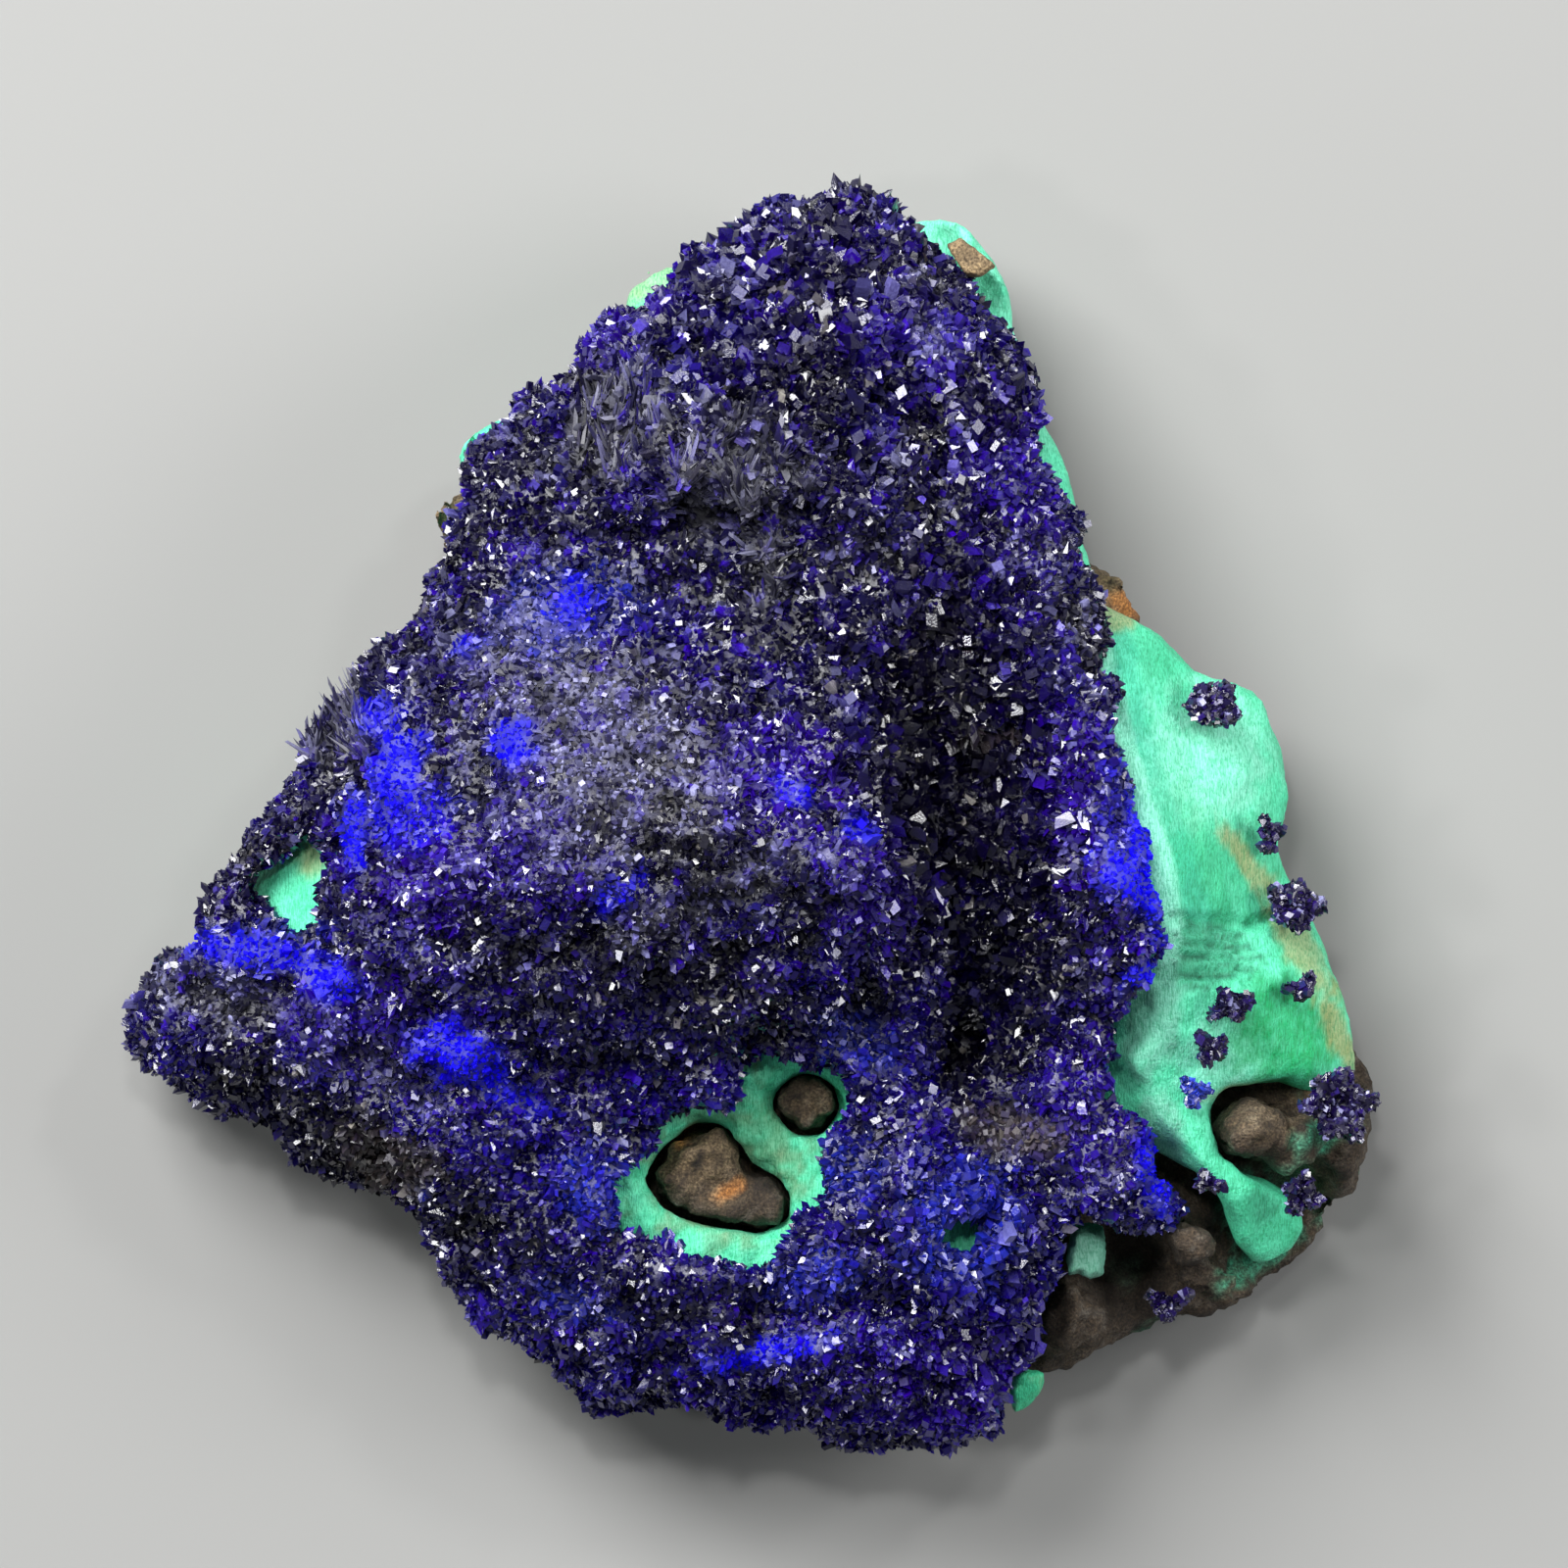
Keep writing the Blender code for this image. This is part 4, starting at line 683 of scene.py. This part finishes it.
# %% Spots spread evenly by area over a sheet
def spread(mesh, count, random, density=None):
    """Points and normals on a mesh, more where density is higher, spread without bunching."""
    mesh.calc_loop_triangles()
    corners = np.empty(len(mesh.loop_triangles) * 3, dtype=np.int32)
    mesh.loop_triangles.foreach_get("vertices", corners)
    corners = corners.reshape(-1, 3)
    points = corner_points(mesh)
    normals = corner_normals(mesh)
    a, b, c = points[corners[:, 0]], points[corners[:, 1]], points[corners[:, 2]]
    area = 0.5 * np.linalg.norm(np.cross(b - a, c - a), axis=1)
    if density is not None:
        area = area * density[corners].mean(axis=1)
    running = np.cumsum(area)
    aims = (np.arange(count) + random.random(count)) / count * running[-1]
    chosen = np.minimum(np.searchsorted(running, aims), len(area) - 1)
    first, second = random.random(count), random.random(count)
    over = first + second > 1.0
    first[over], second[over] = 1.0 - first[over], 1.0 - second[over]
    spots = a[chosen] + (b - a)[chosen] * first[:, None] + (c - a)[chosen] * second[:, None]
    facing = unit(
        normals[corners[chosen, 0]] * (1.0 - first - second)[:, None]
        + normals[corners[chosen, 1]] * first[:, None]
        + normals[corners[chosen, 2]] * second[:, None]
    )
    return spots, facing


def leaning(normals, random, most):
    """Directions that lean off the normals by up to most, as a share of their length."""
    push = random.normal(size=normals.shape)
    push = unit(push) * (random.random((len(normals), 1)) ** 0.6) * most
    return unit(normals + push)


class Crystals:
    """Many crystals: where they stand, which way, how large, their colour and their shine."""

    def __init__(self, spots, axes, sizes, colours, dullness, random, shares=(0.3, 0.35, 0.35)):
        self.spots = spots
        self.axes = axes
        self.sizes = sizes
        self.colours = colours
        self.dullness = dullness
        self.chance = random.random((len(spots), 4))
        self.kind = random.choice(len(SHAPES), size=len(spots), p=shares)

    def piece(self, name, chosen, finish, slot, stands_for, colour_name="crystal_colour"):
        """The chosen ones as one mesh; their feet are darker, as painted shade."""
        groups = []
        tints = []
        dulls = []
        for number, shape in enumerate(SHAPES):
            pick = chosen & (self.kind == number)
            corners, top = plant(
                shape, self.spots[pick], self.axes[pick], self.sizes[pick], self.chance[pick])
            groups.append((corners, shape["faces"]))
            # Painted shade: the foot corners of each crystal at half brightness.
            shade = np.where(top, 1.0, 0.5)
            tints.append((self.colours[pick][:, None, :] * shade[:, :, None]).reshape(-1, 3))
            dulls.append(np.repeat(self.dullness[pick], corners.shape[1]))
        mesh = joined_mesh(name, groups)
        paint(mesh, colour_name, np.concatenate(tints))
        measure(mesh, "dullness", np.concatenate(dulls))
        return finished(name, mesh, finish, stands_for, smooth=False)


# %% Grow the druse
DRUSE_COUNT = 74000
random = np.random.default_rng(SEED + 1)
exposed = np.clip(corner_normals(crust)[:, 2] * 1.4 + 0.75, 0.12, 1.0)
spots, facing = spread(crust, DRUSE_COUNT, random, exposed)
spots = spots * MILLIMETRES
buried = covered(spots, facing, (layer_tree, matrix_tree), 0.9)
spots, facing = spots[~buried], facing[~buried]
count = len(spots)
druse_places = Places(spots, 7.0)
coarse = druse_places.ovals(COARSE, 0.5, 0.4)
bristly = druse_places.ovals(BRISTLES, 0.35, 0.4)
pure = druse_places.ovals(ELECTRIC, 0.4, 0.6)
packed = np.maximum(pure, 0.7 * druse_places.ovals(VELVET_AND_SHEEN, 0.4, 0.5))
width = (0.15 + 0.20 * random.random(count) ** 2) * (1.0 + coarse * (0.25 + 0.9 * random.random(count)))
width *= 1.0 - 0.25 * packed
depth = width * (0.45 + 0.5 * random.random(count))
height = width * (0.40 + 0.65 * random.random(count)) * (1.0 - 0.35 * packed)
drift = np.column_stack([ripple(spots, 1.1, seed, 2) for seed in (21.0, 22.0, 23.0)])
axes = leaning(unit(facing + 1.1 * drift), random, 0.95)
spray = unit(drift + np.array((0.1, 0.8, 0.15)))
lying = bristly * (random.random(count) < 0.55)
axes = unit(axes * (1.0 - 0.85 * lying)[:, None] + spray * (0.85 * lying)[:, None] + facing * 0.12)
sizes = np.column_stack([
    width * (1.0 - 0.68 * lying), depth * (1.0 - 0.55 * lying), height * (1.0 + 2.4 * lying),
])
colours, dullness = azurite_at(spots, facing, random.random((count, 4)))
druse = Crystals(spots, axes, sizes, colours, dullness, random)
print("crystals on the crust:", count)

# %% The druse as pieces, one for each part of the crust
is_pure = pure > 0.25 + 0.6 * random.random(count)
on_shoulder = ~is_pure & (spots[:, 1] > 8.6)
on_apron = ~is_pure & (spots[:, 1] < -6.4)
in_gully = ~is_pure & ~on_shoulder & ~on_apron & (spots[:, 0] > 4.4)
on_dome = ~is_pure & ~on_shoulder & ~on_apron & ~in_gully
for name, chosen, finish in (
    ("druse_on_shoulder", on_shoulder, druse_finish),
    ("druse_on_dome", on_dome, druse_finish),
    ("druse_in_gully", in_gully, druse_finish),
    ("druse_on_apron", on_apron, druse_finish),
    ("druse_pure_blue", is_pure, pure_blue_finish),
):
    druse.piece(name, chosen, finish, "azurite", ["azurite_crust"])

# %% [markdown]
# The malachite. It is a skin of fine fibres: silky and pale mint where it is fresh, emerald where
# the fibres stand on end, grey-green along the wedge below the fold. Its own relief is low, so a
# fine copy of the solid is creased, combed and pitted, and the material adds the fibres.

# %% Zones of the malachite, in millimetres: across, along, wide, tall, turn, strength
MINT = (0.16, 0.93, 0.58)
PALE_MINT = (0.36, 0.97, 0.74)
LEAF_GREEN = (0.055, 0.62, 0.33)
EMERALD = (0.004, 0.45, 0.15)
TEAL = (0.02, 0.50, 0.38)
SILK = (0.20, 0.60, 0.44)
DARK_GREEN = (0.012, 0.16, 0.09)
OCHRE = (0.50, 0.36, 0.13)
OLIVE = (0.20, 0.19, 0.085)
ORANGE = (0.62, 0.24, 0.05)

EMERALD_SPOTS = [
    (18.2, -7.3, 2.0, 1.9, 20, 1.0),
    (16.9, -1.6, 1.6, 1.4, 30, 0.25),
    (15.0, -1.0, 1.1, 2.6, 25, 0.3),
]
LEAF_SPOTS = [
    (15.2, -1.6, 1.6, 1.8, 25, 0.8),
    (14.4, 5.3, 1.2, 2.0, 40, 0.7),
    (17.8, 1.0, 0.7, 2.0, 0, 0.5),
    (18.6, -3.6, 1.0, 2.0, 25, 0.5),
    (17.5, -13.4, 2.0, 1.8, 0, 0.5),
    (0.2, -11.6, 2.6, 1.4, -60, 0.6),
]
PLATE_SPOTS = [
    (15.4, 2.1, 2.2, 2.4, -20, 0.9),
    (16.2, -8.3, 1.6, 1.6, 0, 0.9),
    (6.6, 19.0, 2.4, 1.6, -45, 0.7),
    (9.0, 15.2, 1.0, 2.8, 12, 0.7),
    (14.2, -12.4, 1.2, 1.0, 0, 0.6),
]
SILK_SPOTS = [
    (13.6, -6.8, 1.0, 2.2, -8, 1.0),
    (14.0, -10.6, 0.7, 1.6, 15, 1.0),
]
STRIATED = [
    (15.5, -4.6, 1.7, 1.1, -5, 1.0),
]
OCHRE_SPOTS = [
    (17.0, -1.6, 0.35, 1.7, 38, 0.8),
    (18.6, -4.2, 0.55, 2.6, 30, 0.75),
    (20.0, -7.2, 0.4, 1.8, 25, 0.8),
    (16.6, -9.4, 0.9, 0.35, 0, 0.7),
    (12.4, 7.2, 0.8, 0.9, 0, 0.8),
    (-3.6, 18.4, 1.4, 0.6, 35, 0.6),
    (-14.8, -0.9, 0.7, 1.0, -30, 0.75),
]
EDGE_OF_CRUST = [
    (11.5, 7.2), (11.9, 5.2), (12.5, 3.0), (13.2, 0.5), (13.9, -1.5), (14.2, -3.5), (14.1, -4.7),
]
STRIP_BESIDE_CRUST = [(12.4, 6.8), (12.9, 4.0), (13.6, 1.4), (14.5, -0.8), (15.2, -3.2)]
TEAL_CREASE = [(12.25, 5.0), (12.35, 3.6), (12.9, 2.6)]
FOLD = [(14.2, -3.35), (15.4, -3.5), (16.9, -3.6), (18.2, -3.2)]


def malachite_at(points):
    """Colour of the malachite at each point."""
    places = Places(points, 31.0)
    clouds = ripple(points, 1.4, 33.0)
    specks = ripple(points, 0.28, 34.0, 2)
    colours = np.tile(np.array(MINT), (len(points), 1))
    colours = blend(colours, LEAF_GREEN, np.clip(0.30 + 0.55 * clouds + 0.45 * specks, 0.0, 1.0))
    colours = blend(colours, LEAF_GREEN, places.ovals(LEAF_SPOTS, 0.4, 0.5) * 0.85)
    colours = blend(colours, PALE_MINT, places.ovals(PLATE_SPOTS, 0.4, 0.4) * np.clip(0.65 - 0.4 * specks, 0.0, 1.0))
    colours = blend(colours, TEAL, places.band(STRIP_BESIDE_CRUST, 0.45, 0.6) * 0.35)
    colours = blend(colours, SILK, places.ovals(SILK_SPOTS, 0.3, 0.3) * 0.9)
    colours = blend(colours, EMERALD, places.ovals(EMERALD_SPOTS, 0.4, 0.5) * np.clip(0.85 - 0.5 * specks, 0.0, 1.0))
    striation = 0.5 + 0.5 * np.sin(points[:, 1] * 17.0 + 2.4 * ripple(points, 1.2, 35.0))
    striated = places.ovals(STRIATED, 0.25, 0.3)
    colours = blend(colours, DARK_GREEN, striated * (0.35 + 0.6 * striation))
    colours = blend(colours, TEAL, places.band(TEAL_CREASE, 0.22, 0.5) * 0.9)
    colours = blend(colours, PALE_MINT, places.band(EDGE_OF_CRUST, 0.42, 0.3, 0.15) * 0.85)
    colours = blend(colours, OCHRE, places.ovals(OCHRE_SPOTS, 0.4, 0.5) * 0.8)
    in_window = places.oval(-1.2, -11.9, 4.3, 4.3, 0, 0.1, 0.0)
    rim = places.oval(-1.0, -11.9, 2.6, 2.7, 0, 0.35, 0.6)
    colours = blend(colours, OLIVE, in_window * rim * np.clip(0.55 + 0.6 * clouds, 0.0, 1.0))
    return colours


# %% Malachite material
def malachite_recipe():
    recipe = Recipe("malachite")
    own_colour = recipe.painted("green")
    fibres = recipe.grain(0.10, 3.0, recipe.stretched(14.0, (2.2, 0.28, 1.0)))
    mottles = recipe.grain(0.12, 5.0)
    darker = recipe.mix(1.0, own_colour, rgb(0.30, 0.62, 0.50), "MULTIPLY")
    combed = recipe.mix(fibres.between(0.34, 0.56), darker, own_colour)
    speckled = recipe.mix(mottles.between(0.28, 0.46), darker, combed)
    recipe.feed("Base Color", speckled)
    recipe.feed("Roughness", 0.46 + recipe.grain(0.5, 2.0) * 0.3)
    grit = recipe.bump(mottles, 0.06, 0.9)
    recipe.feed("Normal", recipe.bump(fibres, 0.05, 0.9, grit))
    return recipe.material


malachite_finish = malachite_recipe()

# %% Make the malachite layer
LAYER_PITCH = 0.21
layer = fine_sheet("malachite_layer", "layer", LAYER_PITCH, 6)
layer_points = corner_points(layer)
layer_normals = corner_normals(layer)
layer_places = Places(layer_points, 41.0)
upward = eased(layer_normals[:, 2] * 2.0)
lift = 0.10 * ripple(layer_points, 1.6, 42.0) + 0.035 * ripple(layer_points, 0.4, 43.0, 2)
lift += 0.10 * layer_places.band(EDGE_OF_CRUST, 0.40, 0.3, 0.15) * upward
lift -= 0.30 * layer_places.band(TEAL_CREASE, 0.20, 0.6, 0.2) * upward
lift -= 0.30 * layer_places.band(FOLD, 0.16, 0.6, 0.3) * upward
band = layer_places.ovals(STRIATED, 0.3, 0.3)
lift -= band * (0.25 + 0.16 * np.sin(layer_points[:, 1] * 17.0 + 2.4 * ripple(layer_points, 1.2, 35.0))) * upward
windows = layer_places.oval(-1.2, -11.9, 4.3, 4.3, 0, 0.1, 0.0) * upward
lift += windows * (0.25 * pebbled(layer_points, 0.5, 44.0) - 0.12 + 0.18 * ripple(layer_points, 0.8, 45.0))
layer_points += layer_normals * lift[:, None]
put_points(layer, layer_points)
paint(layer, "green", malachite_at(layer_points))
finished("malachite_skin", layer, malachite_finish, ["malachite_layer"])

# %% [markdown]
# The limonite. The host rock is earthy, brown to grey, crumbly and pitted, with ochre crusts and a
# little malachite along its rim. A fine copy of the solid is broken up in pebbles and pits.

# %% Limonite material and colours
BROWN = (0.095, 0.066, 0.040)
DARK_BROWN = (0.022, 0.016, 0.012)
TAN = (0.36, 0.26, 0.14)
STONE_GREY = (0.15, 0.135, 0.115)

GREEN_ON_BROWN = [
    (17.6, -15.0, 1.8, 0.5, 35, 0.9),
    (19.6, -10.8, 1.0, 0.5, 10, 0.8),
    (16.6, -13.2, 0.7, 1.4, 10, 0.7),
    (18.2, -12.4, 0.9, 0.7, 0, 0.6),
]
TAN_ON_BROWN = [
    (17.4, -10.2, 1.4, 0.9, 0, 0.35),
    (19.2, -9.4, 1.4, 0.6, -20, 0.8),
    (18.4, -12.9, 1.2, 0.8, 30, 0.5),
    (12.5, 7.8, 1.0, 1.0, 0, 0.9),
    (-10.6, 10.4, 1.4, 1.4, 0, 1.0),
    (-1.8, -11.4, 1.6, 1.2, 0, 0.6),
    (-1.0, -12.8, 0.8, 0.4, 20, 0.8),
    (2.0, -9.8, 1.0, 0.9, 0, 0.35),
]
ORANGE_ON_BROWN = [
    (-2.5, -10.8, 0.45, 0.35, 0, 0.9),
    (-0.8, -12.7, 0.6, 0.25, 30, 0.8),
    (12.8, 7.3, 0.6, 0.4, -30, 0.9),
]
SHADED = [
    (13.0, -15.6, 1.4, 1.6, 0, 0.8),
    (17.0, -9.3, 1.8, 0.4, 0, 0.5),
]


def limonite_at(points):
    """Colour of the host rock at each point."""
    places = Places(points, 51.0)
    clouds = ripple(points, 1.1, 52.0)
    specks = ripple(points, 0.3, 53.0, 2)
    colours = np.tile(np.array(BROWN), (len(points), 1))
    colours = blend(colours, DARK_BROWN, np.clip(0.25 + 0.8 * clouds - 0.4 * specks, 0.0, 1.0))
    colours = blend(colours, STONE_GREY, np.clip(0.9 * specks - 0.5 * clouds, 0.0, 0.8))
    colours = blend(colours, TAN, places.ovals(TAN_ON_BROWN, 0.4, 0.5) * np.clip(0.6 + specks, 0.0, 1.0))
    colours = blend(colours, ORANGE, places.ovals(ORANGE_ON_BROWN, 0.4, 0.5) * 0.85)
    below = np.clip(-points[:, 2] + 3.4, 0.0, 1.0) * eased(ripple(points, 3.0, 54.0) * 2.2 - 0.25)
    green = np.maximum(places.ovals(GREEN_ON_BROWN, 0.35, 0.6), 0.75 * below)
    colours = blend(colours, (0.05, 0.42, 0.25), green * np.clip(0.75 + 0.8 * specks, 0.0, 1.0))
    colours = blend(colours, DARK_BROWN, places.ovals(SHADED, 0.4, 0.4) * 0.7)
    return colours


def limonite_recipe():
    recipe = Recipe("limonite")
    own_colour = recipe.painted("brown")
    crumbs = recipe.cells(0.16)
    dust = recipe.grain(0.10, 6.0)
    darker = recipe.mix(1.0, own_colour, rgb(0.28, 0.25, 0.23), "MULTIPLY")
    paler = recipe.mix(1.0, own_colour, rgb(1.7, 1.65, 1.5), "MULTIPLY")
    ground = recipe.mix(dust.between(0.36, 0.62), darker, own_colour)
    recipe.feed("Base Color", recipe.mix(dust.between(0.56, 0.72) * 0.7, ground, paler))
    recipe.feed("Roughness", 0.72 + dust * 0.25)
    crumbled = recipe.bump(1.0 - crumbs, 0.05, 0.8)
    recipe.feed("Normal", recipe.bump(dust, 0.08, 1.0, crumbled))
    return recipe.material


limonite_finish = limonite_recipe()

# %% Make the host rock
MATRIX_PITCH = 0.24
rock = fine_sheet("limonite_matrix", "rock", MATRIX_PITCH, 3)
rock_points = corner_points(rock)
rock_normals = corner_normals(rock)
off_foot = eased((rock_points[:, 2] - 0.15) / 0.8)
crumble = 0.26 * ripple(rock_points, 1.3, 61.0) + 0.26 * (pebbled(rock_points, 0.75, 62.0) - 0.5)
crumble += 0.10 * ripple(rock_points, 0.4, 63.0, 2)
rock_points += rock_normals * (crumble * off_foot)[:, None]
rock_points[:, 2] = np.maximum(rock_points[:, 2], 0.0)
put_points(rock, rock_points)
paint(rock, "brown", limonite_at(rock_points))
finished("host_rock", rock, limonite_finish, ["limonite_matrix"])

# %% [markdown]
# Loose groups of azurite on the green and brown. Each stands for one small solid: a dark core with
# fine crystals all over it.

# %% Grow the loose groups
group_names = sorted(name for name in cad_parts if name.startswith("azurite_cluster"))
for number, node in enumerate(group_names):
    group_random = np.random.default_rng(SEED + 50 + number)
    core = fine_sheet(node, node + "_core", 0.13, 4)
    core_points = corner_points(core) - 0.13 * corner_normals(core)
    put_points(core, core_points)
    tint = (0.03, 0.06, 0.55) if node.endswith("06") else (0.012, 0.004, 0.075)
    spots, facing = spread(core, 420 if node.endswith(("10", "03", "01")) else 230, group_random)
    count = len(spots)
    width = 0.16 + 0.15 * group_random.random(count) ** 2
    sizes = np.column_stack([
        width, width * (0.55 + 0.45 * group_random.random(count)),
        width * (0.35 + 0.5 * group_random.random(count)),
    ])
    axes = leaning(facing, group_random, 0.8)
    shades = 0.4 + 1.6 * group_random.random(count) ** 2
    colours = np.array(tint)[None] * shades[:, None]
    # Painted glints: a few crystals in pale lilac.
    colours[group_random.random(count) < 0.08] = np.array(SHEEN_LILAC) * 0.8
    dullness = 0.08 + 0.2 * group_random.random(count)
    group = Crystals(spots, axes, sizes, colours, dullness, group_random, (0.5, 0.3, 0.2))
    whole = np.ones(count, dtype=bool)
    group.piece(node + "_crystals", whole, cluster_finish, "azurite", [node])
    # Painted shade: the core at half the tint, as in the gaps between crystals.
    paint(core, "crystal_colour", np.tile(np.array(tint) * 0.5, (len(core_points), 1)))
    measure(core, "dullness", np.full(len(core_points), 0.35))
    finished(node + "_core", core, cluster_finish, [node])

# %% [markdown]
# Three small blocks: the pale fibrous column in the hollow, the green piece at the foot of the blue
# and the tan chip by the pointed end.

# %% Column, nub and chip
column = fine_sheet("malachite_column", "column", 0.09, 3)
column_points = corner_points(column)
column_points += corner_normals(column) * (0.06 * ripple(column_points * np.array([1.0, 1.0, 0.3]), 0.3, 71.0))[:, None]
put_points(column, column_points)
# Painted shade: the column darkens towards its top, under the edge of the crust.
column_shade_under_crust = eased((column_points[:, 2] - 5.2) / 3.0)
paint(column, "green", blend(np.tile(np.array(PALE_MINT) * 0.75, (len(column_points), 1)), (0.09, 0.22, 0.16), column_shade_under_crust * 0.8))
finished("column", column, malachite_finish, ["malachite_column"])

nub = fine_sheet("malachite_nub", "nub", 0.09, 3)
nub_points = corner_points(nub)
nub_points += corner_normals(nub) * (0.08 * ripple(nub_points, 0.5, 72.0))[:, None]
put_points(nub, nub_points)
paint(nub, "green", blend(np.tile(np.array(LEAF_GREEN), (len(nub_points), 1)), TAN, eased(ripple(nub_points, 0.8, 73.0)) * 0.6))
finished("nub", nub, malachite_finish, ["malachite_nub"])

chip = fine_sheet("limonite_chip", "chip", 0.09, 2)
chip_points = corner_points(chip)
chip_points += corner_normals(chip) * (0.07 * ripple(chip_points, 0.4, 74.0))[:, None]
put_points(chip, chip_points)
paint(chip, "brown", blend(np.tile(np.array(TAN), (len(chip_points), 1)), BROWN, eased(0.4 + ripple(chip_points, 0.5, 75.0)) * 0.6))
finished("chip", chip, limonite_finish, ["limonite_chip"])

# %% [markdown]
# The table, the camera and the light. The photograph looks straight down on the display face, so
# the camera hangs above it with a long lens. One wide soft light stands towards the pointed end
# and a little to the left, a smaller one from the right, and a small bright one wakes the glitter.

# %% Floor
def floor_recipe():
    recipe = Recipe("pale table", Roughness=0.75)
    recipe.feed("Base Color", recipe.mix(recipe.grain(60.0, 2.0), rgb(0.265, 0.265, 0.258), rgb(0.285, 0.285, 0.277)))
    return recipe.material


table_shape = bmesh.new()
bmesh.ops.create_grid(table_shape, x_segments=8, y_segments=8, size=0.9)
table_mesh = bpy.data.meshes.new("table")
table_shape.to_mesh(table_mesh)
table_shape.free()
table_mesh.materials.append(floor_recipe())
table = bpy.data.objects.new("table", table_mesh)
scene.collection.objects.link(table)

# %% Camera
VIEW_CENTRE = (0.00107, 0.00117, 0.010)
VIEW_HEIGHT = 0.741
camera_data = bpy.data.cameras.new("camera")
camera_data.lens = 500.0
camera_data.sensor_width = 36.0
camera_data.clip_start = 0.01
camera_data.clip_end = 10.0
camera = bpy.data.objects.new("camera", camera_data)
camera.location = (VIEW_CENTRE[0], VIEW_CENTRE[1], VIEW_CENTRE[2] + VIEW_HEIGHT)
scene.collection.objects.link(camera)
scene.camera = camera


# %% Lights
def soft_light(name, place, size, watts, tone=(1.0, 1.0, 1.0)):
    """A square lamp turned towards the specimen."""
    lamp = bpy.data.lights.new(name, "AREA")
    lamp.size = size
    lamp.energy = watts
    lamp.color = tone
    stand = bpy.data.objects.new(name, lamp)
    stand.location = place
    stand.rotation_euler = (Vector(place) - Vector(VIEW_CENTRE)).to_track_quat("Z", "Y").to_euler()
    scene.collection.objects.link(stand)


soft_light("wide light", (-0.16, 0.21, 0.26), 0.20, 2.6)
soft_light("side light", (0.30, 0.06, 0.20), 0.16, 0.75)
soft_light("small light", (-0.02, 0.12, 0.40), 0.04, 0.40)
soft_light("second small light", (0.16, 0.20, 0.30), 0.04, 0.22)
soft_light("third small light", (-0.24, -0.02, 0.32), 0.04, 0.22)
world = bpy.data.worlds.new("room")
world.use_nodes = True
world.node_tree.nodes["Background"].inputs["Color"].default_value = (0.9, 0.95, 1.0, 1.0)
world.node_tree.nodes["Background"].inputs["Strength"].default_value = 0.14
scene.world = world
scene.view_settings.view_transform = "Standard"
